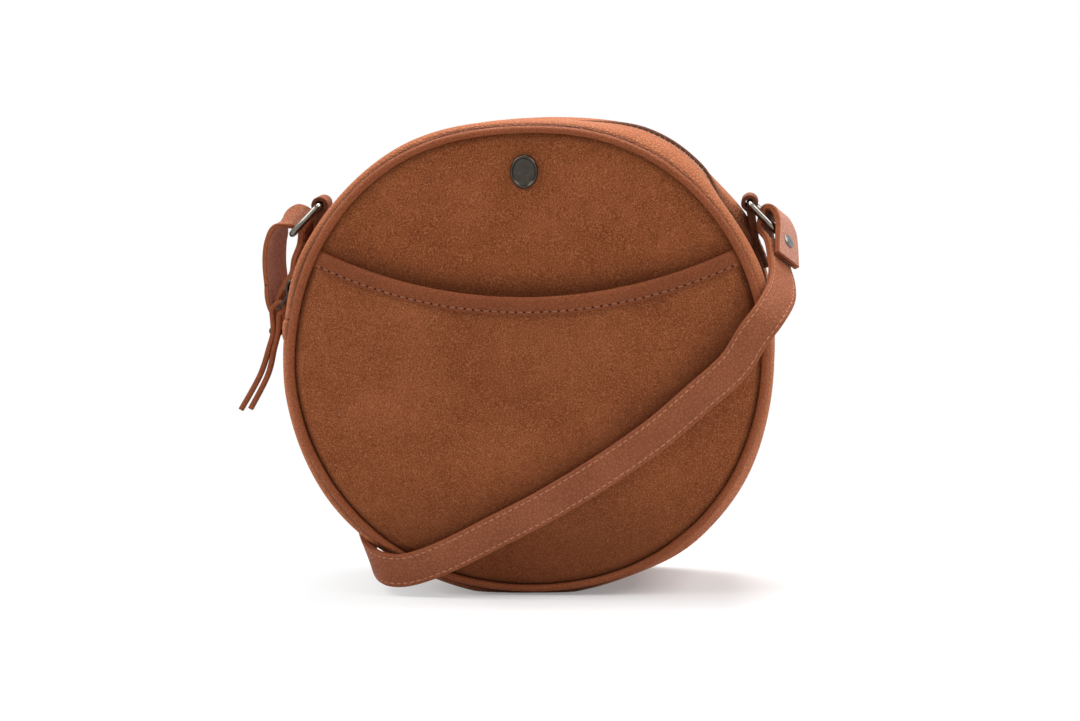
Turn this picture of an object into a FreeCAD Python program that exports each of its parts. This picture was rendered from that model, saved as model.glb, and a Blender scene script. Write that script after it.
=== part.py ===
"""Round crossbody bag: suede front with a slip pocket, leather gusset, curved zip and shoulder strap.

Frame: millimetres, origin on the floor under the middle of the bag, X right, Y to the back, Z up.
The bag is round about an axis along Y that passes centre_height above the floor.
Angles are measured about that axis from +X towards +Z.
"""

import FreeCAD
import Part
import math
import os
import Sketcher

Vector = FreeCAD.Vector
Y_AXIS = Vector(0, 1, 0)

doc = FreeCAD.newDocument("CircleBag")
dims = doc.addObject("Spreadsheet::Sheet", "Dims")

# Driving sizes in millimetres and degrees.
SIZES = (
    # body of the bag
    ("crown_radius", 110, "outer radius of the gusset at its crown"),
    ("base_sink", 2, "how far the gusset flattens where the bag stands"),
    ("seam_spacing", 64, "between the middles of the two piping rings"),
    ("gusset_rise", 3, "rise of the gusset from its edges to its crown"),
    ("leather", 1.8, "gusset leather"),
    ("suede", 1.4, "suede of the panels"),
    ("board", 1.6, "stiffening board in the panels"),
    ("board_margin", 3, "from the panel's edge to the board's edge"),
    ("cloth", 0.6, "lining cloth"),
    ("ply_gap", 0.2, "between plies that lie on each other"),
    ("seam_gap", 0.2, "between piping and what it is sewn to"),
    ("lap_gap", 0.3, "between the ends of gusset pieces"),
    # piping
    ("piping_dia", 3.6, "outer diameter of the piping"),
    ("piping_skin", 0.6, "leather of the piping"),
    ("cord_play", 0.15, "between piping leather and its filler cord"),
    ("piping_inset", 4, "piping ring's middle inside the crown radius"),
    # panels
    ("panel_rim", 31.8, "outer face of a panel's edge from the mid plane"),
    ("front_rise", 4.5, "dome of the front panel"),
    ("back_rise", 6, "dome of the back panel"),
    ("pocket_rise", 12, "dome of the pocket panel"),
    ("mouth_radius", 226, "curve of the pocket mouth"),
    ("mouth_height", 27.7, "lowest point of the mouth above the bag's middle"),
    ("binding_width", 6.7, "leather binding on the pocket mouth"),
    ("binding_ply", 0.9, "thickness of the binding leather"),
    # badge
    ("badge_drop", 20.4, "badge below the panel's edge"),
    ("badge_wide", 12.4, "badge width"),
    ("badge_tall", 15, "badge length"),
    ("badge_plate", 1.6, "badge thickness"),
    ("badge_rim", 1.1, "width of the badge's raised rim"),
    ("badge_rim_rise", 0.6, "height of the badge's raised rim"),
    ("badge_post", 1.6, "diameter of the badge's post"),
    ("badge_bore_play", 0.3, "between post and its holes, across"),
    ("washer_dia", 8, "washer behind the badge"),
    ("washer_plate", 0.8, "thickness of that washer"),
    # zip
    ("zip_end_angle", 9, "zip ends, above the horizontal on each side"),
    ("zip_gap", 10, "between the leather edges along the zip"),
    ("tape_plate", 0.7, "thickness of the zip tape"),
    ("tape_inner", 2.7, "tape's inner edge from the zip's middle"),
    ("tape_outer", 13, "tape's outer edge from the zip's middle"),
    ("tape_end", 0.6, "tape stops this many degrees inside the leather's end"),
    ("tooth_pitch", 2.6, "spacing of the teeth along one tape"),
    ("tooth_long", 1.1, "tooth along the zip"),
    ("tooth_tall", 2.4, "tooth through the zip"),
    ("tooth_reach", 0.6, "tooth past the zip's middle"),
    ("tooth_root", 2.6, "tooth's back from the zip's middle"),
    ("bead_inner", 1.7, "bead under the teeth, from the zip's middle"),
    ("stop_long", 2.2, "stops along the zip"),
    ("stop_gap", 1.2, "degrees between slider and top stops"),
    # slider, puller and thong
    ("slider_angle", 165.7, "where the slider is parked"),
    ("slider_long", 9, "slider along the zip"),
    ("slider_wide", 8.4, "slider across the zip at its mouth"),
    ("slider_tail", 6.6, "slider across the zip at its tail"),
    ("slider_plate", 1.1, "thickness of the slider's plates"),
    ("slider_room", 0.7, "between teeth and slider plates"),
    ("flange_wide", 0.9, "width of the slider's flanges"),
    ("tape_room", 0.5, "between tape and slider flanges"),
    ("wedge_wide", 2.4, "slider's wedge across the zip"),
    ("wedge_long", 3, "slider's wedge along the zip"),
    ("bail_long", 8.6, "slider's bail along the zip"),
    ("bail_tall", 6.6, "slider's bail above the top plate"),
    ("bail_wire", 1.4, "slider's bail, thickness"),
    ("bail_wide", 2.2, "slider's bail across the zip"),
    ("pin_back", 1.5, "puller pin from the bail's middle"),
    ("pin_under", 0.55, "room between puller pin and bail"),
    ("pin_dia", 1.3, "puller pin"),
    ("puller_angle", 69, "puller from the outward direction"),
    ("puller_long", 9.4, "pin to the middle of the puller's lower bar"),
    ("puller_wide", 5, "puller across"),
    ("puller_plate", 1.1, "thickness of the puller"),
    ("puller_leg", 0.9, "width of the legs beside the puller's window"),
    ("window_long", 4.2, "pin's middle to the end of the window"),
    ("slot_long", 2.6, "thong slot along the puller"),
    ("slot_wide", 3.8, "thong slot across the puller"),
    ("puller_bar", 1.6, "puller's lower bar"),
    ("thong_wide", 3.4, "leather thong across"),
    ("thong_plate", 1.9, "thickness of the thong"),
    ("thong_play", 0.5, "between thong and the puller's bar"),
    ("thong_rivet_head", 3, "rivet head on the thong"),
    ("thong_rivet_shank", 1.4, "rivet shank in the thong"),
    ("rivet_play", 0.2, "between rivet shanks and leather, across"),
    ("head_tall", 0.9, "height of rivet heads"),
    # rings and tabs
    ("ring_wire", 3, "ring wire"),
    ("ring_inside", 16.4, "ring between its sides"),
    ("ring_long", 18.4, "ring from bar to bar, middle to middle"),
    ("ring_bend", 3, "bend of the ring's corners, to the wire's middle"),
    ("ring_slope", 45.6, "rings hang this far below the horizontal"),
    ("ring_y", 15.5, "rings and tabs behind the mid plane"),
    ("eye_angle", 33.5, "tab eye above the horizontal on each side"),
    ("eye_rise", 8.5, "tab eye above the gusset's crown"),
    ("eye_play", 0.35, "between ring wire and tab"),
    ("tab_wide", 15, "ring tab across"),
    ("tab_ply", 1.6, "leather of the ring tab"),
    ("tab_foot", 12, "part of the tab that is sewn to the gusset"),
    ("tab_tilt", 8.5, "degrees from eye to the sewn foot's near end"),
    # shoulder strap
    ("strap_wide", 15, "shoulder strap across"),
    ("strap_plate", 3, "thickness of the two strap plies"),
    ("strap_rivet_head", 6.4, "rivet head on the strap"),
    ("strap_rivet_shank", 2.6, "rivet shank in the strap"),
)

row_count = 0


def cell(alias, text):
    """Put one named cell in the sheet."""
    global row_count
    row_count += 1
    dims.set("A%d" % row_count, alias)
    dims.set("B%d" % row_count, text)
    dims.setAlias("B%d" % row_count, alias)


for size_name, size_value, size_note in SIZES:
    cell(size_name, str(size_value))
    dims.set("C%d" % row_count, size_note)

# Sizes that follow from the driving ones.
FOLLOWING = (
    ("zero", "0"),
    ("centre_height", "=crown_radius - base_sink"),
    ("seam_half", "=seam_spacing / 2"),
    ("gusset_edge", "=seam_half - piping_dia / 2 - seam_gap"),
    ("crown_arc", "=(gusset_edge ^ 2 + gusset_rise ^ 2) / (2 * gusset_rise)"),
    ("crown_origin", "=crown_radius - crown_arc"),
    ("piping_ring", "=crown_radius - piping_inset"),
    ("panel_radius", "=piping_ring - piping_dia / 2 - seam_gap"),
    ("badge_height", "=panel_radius - badge_drop"),
    ("zip_half", "=zip_gap / 2"),
    ("band_sweep", "=180 - 2 * zip_end_angle"),
    ("band_start", "=180 - zip_end_angle"),
    ("base_trim", "=lap_gap / crown_radius * 180 / pi"),
    ("base_sweep", "=180 + 2 * zip_end_angle - 2 * base_trim"),
    ("base_start", "=360 + zip_end_angle - base_trim"),
    ("tape_sweep", "=band_sweep - 2 * tape_end"),
    ("tape_start", "=band_start - tape_end"),
    ("tape_depth", "=leather + ply_gap"),
    ("tape_under", "=tape_depth + tape_plate"),
    ("tape_top", "=crown_radius - tape_depth"),
    ("tape_bottom", "=crown_radius - tape_under"),
    ("zip_level", "=(tape_top + tape_bottom) / 2"),
    ("tooth_top", "=zip_level + tooth_tall / 2"),
    ("tooth_bottom", "=zip_level - tooth_tall / 2"),
    ("tooth_half", "=tooth_long / 2"),
    ("pitch_angle", "=tooth_pitch / zip_level * 180 / pi"),
    ("slider_half", "=slider_long / 2"),
    ("slider_half_angle", "=slider_half / zip_level * 180 / pi"),
    ("stop_half_angle", "=stop_long / 2 / zip_level * 180 / pi"),
    ("teeth_low", "=zip_end_angle + tape_end + 4 * stop_half_angle"),
    ("teeth_count", "=floor((slider_angle - teeth_low) / pitch_angle)"),
    ("teeth_sweep", "=(teeth_count - 1) * pitch_angle"),
    ("teeth_start", "=slider_angle - pitch_angle / 4"),
    ("top_plate_low", "=tooth_top + slider_room"),
    ("top_plate_high", "=top_plate_low + slider_plate"),
    ("low_plate_high", "=tooth_bottom - slider_room"),
    ("low_plate_low", "=low_plate_high - slider_plate"),
    ("flange_top_low", "=tape_top + tape_room"),
    ("flange_low_high", "=tape_bottom - tape_room"),
    ("bail_high", "=top_plate_high + bail_tall"),
    ("bail_under", "=bail_high - bail_wire"),
    ("bail_half", "=bail_long / 2"),
    ("bail_inner", "=bail_half - bail_wire"),
    ("pin_level", "=bail_under - pin_under - pin_dia / 2"),
    ("pin_half", "=pin_dia / 2"),
    ("slider_turn", "=90 - slider_angle"),
    ("puller_half", "=puller_wide / 2"),
    ("puller_leg_in", "=puller_half - puller_leg"),
    ("puller_end", "=puller_long + puller_bar / 2"),
    ("slot_far", "=puller_long - puller_bar / 2"),
    ("slot_near", "=slot_far - slot_long"),
    ("slot_half", "=slot_wide / 2"),
    ("top_stop_angle", "=slider_angle + slider_half_angle + stop_gap + stop_half_angle"),
    ("low_stop_angle", "=zip_end_angle + tape_end + 1.5 * stop_half_angle"),
    ("lining_depth", "=tape_under + ply_gap"),
    ("lining_under", "=lining_depth + cloth"),
    ("lining_inner", "=slider_wide / 2 + 2 * ply_gap + tape_room + 1"),
    ("base_lining_depth", "=base_sink + leather + ply_gap"),
    ("base_lining_under", "=base_lining_depth + cloth"),
    ("pocket_rim", "=panel_rim + ply_gap + suede"),
    ("board_rim", "=panel_rim - suede - ply_gap"),
    ("board_radius", "=panel_radius - board_margin"),
    ("cloth_rim", "=board_rim - board - ply_gap"),
    ("lining_edge", "=cloth_rim - cloth - ply_gap"),
    ("ring_half", "=ring_inside / 2 + ring_wire / 2"),
    ("eye_radius", "=crown_radius + eye_rise"),
    ("eye_x", "=eye_radius * cos(eye_angle * 1deg)"),
    ("eye_z", "=centre_height + eye_radius * sin(eye_angle * 1deg)"),
    ("eye_inner", "=ring_wire / 2 + eye_play"),
    ("eye_outer", "=eye_inner + tab_ply"),
    ("tab_thick", "=2 * tab_ply"),
    ("foot_level", "=crown_radius + ply_gap"),
    ("badge_half", "=badge_tall / 2"),
    ("badge_half_wide", "=badge_wide / 2"),
    ("badge_in_half", "=badge_half - badge_rim"),
    ("badge_in_wide", "=badge_half_wide - badge_rim"),
)
for follow_name, follow_rule in FOLLOWING:
    cell(follow_name, follow_rule)
doc.recompute()

subparts = []


def dim(alias):
    """Value of a named cell, with an optional leading minus."""
    if alias.startswith("-"):
        return -dim(alias[1:])
    value = dims.get(alias)
    return float(getattr(value, "Value", value))


def tie(alias):
    """Expression text for a named cell, with an optional leading minus."""
    if alias.startswith("-"):
        return "-Dims." + alias[1:]
    return "Dims." + alias


def follow(alias, rule):
    """Add one more following size and return its name."""
    cell(alias, rule)
    dims.recompute()
    return alias


def body(label):
    """A new body, listed as one sub-part."""
    new_body = doc.addObject("PartDesign::Body", label)
    new_body.Label = label
    subparts.append(new_body)
    return new_body


def plane(owner, role):
    """One of a body's own origin planes."""
    for feature in owner.Origin.OriginFeatures:
        if feature.Role == role:
            return feature
    raise ValueError(role)


def sketch(owner, name, role, loops, arcs=None):
    """Sketch of closed loops; each corner is a pair of named sizes.

    arcs maps (loop, edge) to (radius name, side) for the edges that are arcs.
    """
    arcs = arcs or {}
    sk = owner.newObject("Sketcher::SketchObject", owner.Name + "_" + name)
    sk.AttachmentSupport = [(plane(owner, role), "")]
    sk.MapMode = "FlatFace"
    for loop_number, loop in enumerate(loops):
        corners = [Vector(dim(u), dim(v), 0) for u, v in loop]
        first = sk.GeometryCount
        starts = []
        for i, here in enumerate(corners):
            there = corners[(i + 1) % len(corners)]
            bend = arcs.get((loop_number, i))
            if bend is None:
                sk.addGeometry(Part.LineSegment(here, there), False)
                starts.append((1, 2))
                continue
            radius = dim(bend[0])
            middle = (here + there) * 0.5
            across = there - here
            across.normalize()
            square = Vector(-across.y, across.x, 0) * bend[1]
            half = (there - here).Length / 2
            centre = middle - square * math.sqrt(radius ** 2 - half ** 2)
            here_turn = math.atan2(here.y - centre.y, here.x - centre.x)
            there_turn = math.atan2(there.y - centre.y, there.x - centre.x)
            forward = (there_turn - here_turn) % (2 * math.pi) < math.pi
            turns = (here_turn, there_turn) if forward else (there_turn, here_turn)
            circle = Part.Circle(centre, Vector(0, 0, 1), radius)
            sk.addGeometry(Part.ArcOfCircle(circle, *turns), False)
            starts.append((1, 2) if forward else (2, 1))
        count = len(corners)
        for i in range(count):
            j = (i + 1) % count
            sk.addConstraint(
                Sketcher.Constraint("Coincident", first + i, starts[i][1], first + j, starts[j][0])
            )
        for i, (u, v) in enumerate(loop):
            for kind, alias in (("DistanceX", u), ("DistanceY", v)):
                index = sk.addConstraint(
                    Sketcher.Constraint(kind, -1, 1, first + i, starts[i][0], dim(alias))
                )
                sk.setExpression("Constraints[%d]" % index, tie(alias))
        for i in range(count):
            bend = arcs.get((loop_number, i))
            if bend is not None:
                index = sk.addConstraint(Sketcher.Constraint("Radius", first + i, dim(bend[0])))
                sk.setExpression("Constraints[%d]" % index, tie(bend[0]))
    return sk


def round_sketch(owner, name, role, circles):
    """Sketch of circles; each is (u, v, diameter) by name."""
    sk = owner.newObject("Sketcher::SketchObject", owner.Name + "_" + name)
    sk.AttachmentSupport = [(plane(owner, role), "")]
    sk.MapMode = "FlatFace"
    for u, v, across in circles:
        spot = Vector(dim(u), dim(v), 0)
        number = sk.addGeometry(Part.Circle(spot, Vector(0, 0, 1), dim(across) / 2), False)
        for kind, alias in (("DistanceX", u), ("DistanceY", v)):
            index = sk.addConstraint(Sketcher.Constraint(kind, -1, 1, number, 3, dim(alias)))
            sk.setExpression("Constraints[%d]" % index, tie(alias))
        index = sk.addConstraint(Sketcher.Constraint("Diameter", number, dim(across)))
        sk.setExpression("Constraints[%d]" % index, tie(across))
    return sk


def box_loop(u_low, u_high, v_low, v_high):
    """Corners of an upright rectangle."""
    return [(u_low, v_low), (u_high, v_low), (u_high, v_high), (u_low, v_high)]


def revolve(owner, sk, sweep=None):
    """Revolve a sketch of the XY plane about the body's Y axis."""
    feature = owner.newObject("PartDesign::Revolution", owner.Name + "_turn")
    feature.Profile = sk
    feature.ReferenceAxis = (sk, ["V_Axis"])
    feature.Angle = 360 if sweep is None else dim(sweep)
    if sweep is not None:
        feature.setExpression("Angle", tie(sweep))
    return feature


def pad(owner, sk, length, middle=True, name="pad"):
    """Pad a sketch by a named length, half to each side unless told otherwise."""
    feature = owner.newObject("PartDesign::Pad", owner.Name + "_" + name)
    feature.Profile = sk
    feature.Length = dim(length)
    feature.setExpression("Length", tie(length))
    if middle:
        feature.SideType = "Symmetric"
    return feature


def pocket(owner, sk, name="cut"):
    """Cut a sketch right through to both sides."""
    feature = owner.newObject("PartDesign::Pocket", owner.Name + "_" + name)
    feature.Profile = sk
    feature.SideType = "Symmetric"
    feature.Type = "ThroughAll"
    return feature


def about_axis(owner, start=None):
    """Put a body at the bag's middle, turned so that its sweep starts at a named angle."""
    owner.Placement = FreeCAD.Placement(
        Vector(0, 0, dim("centre_height")),
        FreeCAD.Rotation(Vector(0, -1, 0), dim(start) if start else 0),
    )
    owner.setExpression("Placement.Base.z", tie("centre_height"))
    if start:
        owner.setExpression("Placement.Rotation.Angle", tie(start))


def at_angle(owner, turn):
    """Put a body that is drawn over the top of the bag at the place of a named turn about Y."""
    owner.Placement = FreeCAD.Placement(
        Vector(0, 0, dim("centre_height")), FreeCAD.Rotation(Y_AXIS, dim(turn))
    )
    owner.setExpression("Placement.Base.z", tie("centre_height"))
    owner.setExpression("Placement.Rotation.Angle", tie(turn))


def crown_layer(label, outer, inner, y_low, y_high, side, start, sweep):
    """Curved strip of the gusset between two named depths under its crowned outer face."""
    names = []
    for depth, level in ((outer, y_low), (outer, y_high), (inner, y_high), (inner, y_low)):
        rule = "=crown_origin + sqrt((crown_arc - %s) ^ 2 - %s ^ 2)" % (depth, level)
        names.append(follow("%s_r%d" % (label, len(names) + 1), rule))
    out_arc = follow(label + "_out", "=crown_arc - %s" % outer)
    in_arc = follow(label + "_in", "=crown_arc - %s" % inner)
    sign = "-" if side < 0 else ""
    low, high = sign + y_low, sign + y_high
    owner = body(label)
    loop = [(names[0], low), (names[1], high), (names[2], high), (names[3], low)]
    sk = sketch(owner, "section", "XY_Plane", [loop], {(0, 0): (out_arc, -side), (0, 2): (in_arc, side)})
    revolve(owner, sk, sweep)
    about_axis(owner, start)
    return owner


def dome(label, rim, rise, plate, radius, side):
    """Domed round panel of a named thickness; rim is its outer face at the edge."""
    arc = follow(label + "_arc", "=(%s ^ 2 + %s ^ 2) / (2 * %s)" % (radius, rise, rise))
    top = follow(label + "_top", "=%s + %s" % (rim, rise))
    under = follow(label + "_under", "=%s - %s" % (top, plate))
    rim_under = follow(label + "_rim", "=%s - %s" % (rim, plate))
    sign = "-" if side < 0 else ""
    owner = body(label)
    loop = [
        ("zero", sign + top),
        (radius, sign + rim),
        (radius, sign + rim_under),
        ("zero", sign + under),
    ]
    sk = sketch(owner, "section", "XY_Plane", [loop], {(0, 0): (arc, side), (0, 2): (arc, -side)})
    revolve(owner, sk)
    about_axis(owner)
    return owner


def through_bore(owner, height, across, name):
    """Round hole along Y at a named height above the bag's middle."""
    pocket(owner, round_sketch(owner, name, "XZ_Plane", [("zero", height, across)]), name + "_cut")


def ribbon(stations, wide, thick, steps):
    """Flat strip through stations of (point, direction across), as a solid with ruled sides."""
    points = [Vector(*place) for place, across in stations]
    sides = [Vector(*across) for place, across in stations]
    last = len(points) - 1
    rows = []
    for i in range(last):
        before, here = points[max(i - 1, 0)], points[i]
        there, after = points[i + 1], points[min(i + 2, last)]
        for step in range(steps + (1 if i == last - 1 else 0)):
            f = step / steps
            leave = (there - before) * 0.5
            reach = (after - here) * 0.5
            spot = (
                here * (2 * f ** 3 - 3 * f ** 2 + 1)
                + leave * (f ** 3 - 2 * f ** 2 + f)
                + there * (3 * f ** 2 - 2 * f ** 3)
                + reach * (f ** 3 - f ** 2)
            )
            along = (
                here * (6 * f ** 2 - 6 * f)
                + leave * (3 * f ** 2 - 4 * f + 1)
                + there * (6 * f - 6 * f ** 2)
                + reach * (3 * f ** 2 - 2 * f)
            )
            rows.append((spot, along, sides[i] * (1 - f) + sides[i + 1] * f))
    wires = []
    for spot, along, across in rows:
        along.normalize()
        across = across - along * across.dot(along)
        across.normalize()
        out = along.cross(across)
        corners = [
            spot + across * (wide / 2 * u) + out * (thick / 2 * v)
            for u, v in ((-1, -1), (1, -1), (1, 1), (-1, 1))
        ]
        wires.append(Part.makePolygon(corners + corners[:1]))
    solid = Part.makeLoft(wires, True, True)
    length = sum((rows[i + 1][0] - rows[i][0]).Length for i in range(len(rows) - 1))
    return solid, rows, length


def free_shape(label, shape):
    """A sub-part whose shape is worked out here."""
    feature = doc.addObject("Part::Feature", label)
    feature.Label = label
    feature.Shape = shape
    feature.Placement = FreeCAD.Placement()
    subparts.append(feature)
    return feature


# Panels: suede outside, board behind it, lining cloth inside.
front_panel = dome("front_panel", "panel_rim", "front_rise", "suede", "panel_radius", -1)
front_board = dome("front_board", "board_rim", "front_rise", "board", "board_radius", -1)
front_lining = dome("front_lining", "cloth_rim", "front_rise", "cloth", "board_radius", -1)
back_panel = dome("back_panel", "panel_rim", "back_rise", "suede", "panel_radius", 1)
back_board = dome("back_board", "board_rim", "back_rise", "board", "board_radius", 1)
back_lining = dome("back_lining", "cloth_rim", "back_rise", "cloth", "board_radius", 1)

# Badge: an oval plate with a raised rim, on a post through panel and board with a washer inside.
badge_hole = follow("badge_hole", "=badge_post + badge_bore_play")
through_bore(front_panel, "badge_height", "badge_hole", "badge_hole")
through_bore(front_board, "badge_height", "badge_hole", "badge_hole")

follow("panel_at_badge", "=panel_rim + front_rise - front_panel_arc + "
       "sqrt(front_panel_arc ^ 2 - (badge_height - badge_half) ^ 2)")
follow("board_at_badge", "=board_rim - board + front_rise - front_board_arc + "
       "sqrt(front_board_arc ^ 2 - (badge_height + washer_dia / 2) ^ 2)")
follow("badge_back", "=panel_at_badge + ply_gap")
follow("badge_front", "=badge_back + badge_plate")
follow("badge_rim_front", "=badge_front + badge_rim_rise")
follow("washer_front", "=board_at_badge - ply_gap")
follow("washer_back", "=washer_front - washer_plate")

# Pocket panel: a fuller dome in front of the panel, open along the curved mouth.
pocket_panel = dome("front_pocket", "pocket_rim", "pocket_rise", "suede", "panel_radius", -1)
follow("mouth_centre", "=mouth_height + mouth_radius")
follow("mouth_across", "=2 * mouth_radius")
through_bore(pocket_panel, "mouth_centre", "mouth_across", "mouth")

# Binding: leather folded over the pocket mouth, outer ply, edge and inner ply.
follow("wrap", "=ply_gap + binding_ply")
follow("wrap_rim", "=pocket_rim + wrap")
follow("wrap_plate", "=suede + 2 * wrap")
follow("core_rim", "=pocket_rim + ply_gap")
follow("core_plate", "=suede + 2 * ply_gap")
follow("binding_inner", "=2 * (mouth_radius - wrap)")
follow("binding_outer", "=2 * (mouth_radius + binding_width)")
follow("core_inner", "=2 * (mouth_radius - ply_gap)")


def loose_dome(name, rim, rise, plate, radius, side):
    """A dome that is only used to make another sub-part."""
    owner = dome(name, rim, rise, plate, radius, side)
    subparts.remove(owner)
    return owner


def mouth_cylinder(name, across):
    """Cylinder about the mouth's curve, right through the front."""
    shape = doc.addObject("Part::Cylinder", name)
    shape.Radius = dim(across) / 2
    shape.setExpression("Radius", tie(across) + " / 2")
    shape.Height = dim("seam_spacing")
    shape.setExpression("Height", tie("seam_spacing"))
    shape.Placement = FreeCAD.Placement(
        Vector(0, 0, dim("centre_height") + dim("mouth_centre")),
        FreeCAD.Rotation(Vector(1, 0, 0), 90),
    )
    shape.setExpression("Placement.Base.z", "Dims.centre_height + Dims.mouth_centre")
    return shape


def cut(name, base, tool):
    """Boolean cut of two objects."""
    feature = doc.addObject("Part::Cut", name)
    feature.Base = base
    feature.Tool = tool
    return feature


wrap_dome = loose_dome("wrap_dome", "wrap_rim", "pocket_rise", "wrap_plate", "panel_radius", -1)
core_dome = loose_dome("core_dome", "core_rim", "pocket_rise", "core_plate", "panel_radius", -1)
strip_outer = mouth_cylinder("strip_outer", "binding_outer")
strip_inner = mouth_cylinder("strip_inner", "binding_inner")
core_edge = mouth_cylinder("core_edge", "core_inner")
strip = doc.addObject("Part::Common", "strip")
strip.Base = wrap_dome
strip.Tool = cut("strip_ring", strip_outer, strip_inner)
core = cut("core", core_dome, core_edge)
# The inner ply runs out where the pocket comes down on the panel.
follow("panel_keep", "=panel_rim + ply_gap")
panel_room = loose_dome("panel_room", "panel_keep", "front_rise", "wrap_plate", "panel_radius", -1)
binding = cut("pocket_binding", cut("binding_wrap", strip, core), panel_room)
binding.Label = "pocket_binding"
subparts.append(binding)

badge = body("badge")
plate_sk = badge.newObject("Sketcher::SketchObject", "badge_outline")
plate_sk.AttachmentSupport = [(plane(badge, "XZ_Plane"), "")]
plate_sk.MapMode = "FlatFace"
rim_sk = badge.newObject("Sketcher::SketchObject", "badge_rim_outline")
rim_sk.AttachmentSupport = [(plane(badge, "XZ_Plane"), "")]
rim_sk.MapMode = "FlatFace"


def oval(sk, tall, wide):
    """Upright ellipse about the sketch's origin with named half sizes."""
    ends = (Vector(0, dim(tall), 0), Vector(dim(wide), 0, 0), Vector(0, 0, 0))
    number = sk.addGeometry(Part.Ellipse(*ends), False)
    sk.exposeInternalGeometry(number)
    sk.addConstraint(Sketcher.Constraint("Coincident", number, 3, -1, 1))
    sk.addConstraint(Sketcher.Constraint("Vertical", number + 1))
    for line, alias in ((number + 1, tall), (number + 2, wide)):
        index = sk.addConstraint(Sketcher.Constraint("Distance", line, 2 * dim(alias)))
        sk.setExpression("Constraints[%d]" % index, "2 * " + tie(alias))


oval(plate_sk, "badge_half", "badge_half_wide")
oval(rim_sk, "badge_half", "badge_half_wide")
oval(rim_sk, "badge_in_half", "badge_in_wide")
pad(badge, plate_sk, "badge_plate", False, "plate")
follow("badge_rim_full", "=badge_plate + badge_rim_rise")
pad(badge, rim_sk, "badge_rim_full", False, "rim")
post_sk = round_sketch(badge, "post", "XZ_Plane", [("zero", "zero", "badge_post")])
follow("post_long", "=badge_back - washer_back + washer_plate")
post = pad(badge, post_sk, "post_long", False, "post")
post.Reversed = True
badge.Placement = FreeCAD.Placement(
    Vector(0, -dim("badge_back"), dim("centre_height") + dim("badge_height")), FreeCAD.Rotation()
)
badge.setExpression("Placement.Base.y", tie("-badge_back"))
badge.setExpression("Placement.Base.z", "Dims.centre_height + Dims.badge_height")

washer = body("badge_washer")
washer_sk = round_sketch(
    washer, "ring", "XZ_Plane", [("zero", "zero", "washer_dia"), ("zero", "zero", "badge_hole")]
)
pad(washer, washer_sk, "washer_plate", False, "plate")
washer.Placement = FreeCAD.Placement(
    Vector(0, -dim("washer_back"), dim("centre_height") + dim("badge_height")), FreeCAD.Rotation()
)
washer.setExpression("Placement.Base.y", tie("-washer_back"))
washer.setExpression("Placement.Base.z", "Dims.centre_height + Dims.badge_height")
through_bore(front_lining, "badge_height", "washer_dia", "washer_room")

# Piping: leather tube round a filler cord along both seams.
follow("piping_bore", "=piping_dia - 2 * piping_skin")
follow("cord_dia", "=piping_bore - 2 * cord_play")
for face, seam in (("front", "-seam_half"), ("back", "seam_half")):
    skin = body(face + "_piping")
    circles = [("piping_ring", seam, "piping_dia"), ("piping_ring", seam, "piping_bore")]
    revolve(skin, round_sketch(skin, "section", "XY_Plane", circles))
    about_axis(skin)
    filler = body(face + "_piping_cord")
    circles = [("piping_ring", seam, "cord_dia")]
    revolve(filler, round_sketch(filler, "section", "XY_Plane", circles))
    about_axis(filler)

# Gusset: a band on each side of the zip and one piece round the base, lined with cloth.
for face, side in (("front", -1), ("back", 1)):
    crown_layer(
        "gusset_%s_band" % face, "zero", "leather", "zip_half", "gusset_edge",
        side, "band_start", "band_sweep",
    )
    crown_layer(
        "zip_tape_" + face, "tape_depth", "tape_under", "tape_inner", "tape_outer",
        side, "tape_start", "tape_sweep",
    )
    crown_layer(
        "gusset_%s_lining" % face, "lining_depth", "lining_under", "lining_inner", "lining_edge",
        side, "band_start", "band_sweep",
    )


def base_strip(label, outer, inner, edge):
    """Gusset piece round the base between two named depths."""
    names = []
    for depth in (outer, inner):
        rule = "=crown_origin + sqrt((crown_arc - %s) ^ 2 - %s ^ 2)" % (depth, edge)
        names.append(follow("%s_r%d" % (label, len(names) + 1), rule))
    out_arc = follow(label + "_out", "=crown_arc - %s" % outer)
    in_arc = follow(label + "_in", "=crown_arc - %s" % inner)
    owner = body(label)
    loop = [(names[0], "-" + edge), (names[0], edge), (names[1], edge), (names[1], "-" + edge)]
    sk = sketch(owner, "section", "XY_Plane", [loop], {(0, 0): (out_arc, -1), (0, 2): (in_arc, 1)})
    revolve(owner, sk, "base_sweep")
    about_axis(owner, "base_start")
    return owner


base_shell = base_strip("base_shell", "zero", "leather", "gusset_edge")
subparts.remove(base_shell)
base_strip("gusset_base_lining", "base_lining_depth", "base_lining_under", "lining_edge")

# The base piece is pressed flat where it stands: what would go below the floor is folded up level.
follow("flat_half", "=sqrt(crown_radius ^ 2 - centre_height ^ 2)")
floor_block = doc.addObject("Part::Box", "floor_block")
for prop, rule in (
    ("Length", "2 * Dims.crown_radius"),
    ("Width", "Dims.seam_spacing"),
    ("Height", "Dims.crown_radius"),
    ("Placement.Base.x", "-Dims.crown_radius"),
    ("Placement.Base.y", "-Dims.seam_half"),
    ("Placement.Base.z", "-Dims.crown_radius"),
):
    floor_block.setExpression(prop, rule)
foot_slab = doc.addObject("Part::Box", "foot_slab")
for prop, rule in (
    ("Length", "4 * Dims.flat_half"),
    ("Width", "Dims.seam_spacing"),
    ("Height", "Dims.leather"),
    ("Placement.Base.x", "-2 * Dims.flat_half"),
    ("Placement.Base.y", "-Dims.seam_half"),
):
    foot_slab.setExpression(prop, rule)
base_core = body("base_core")
subparts.remove(base_core)
core_loop = [
    ("zero", "-gusset_edge"), ("base_shell_r1", "-gusset_edge"),
    ("base_shell_r1", "gusset_edge"), ("zero", "gusset_edge"),
]
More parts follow.
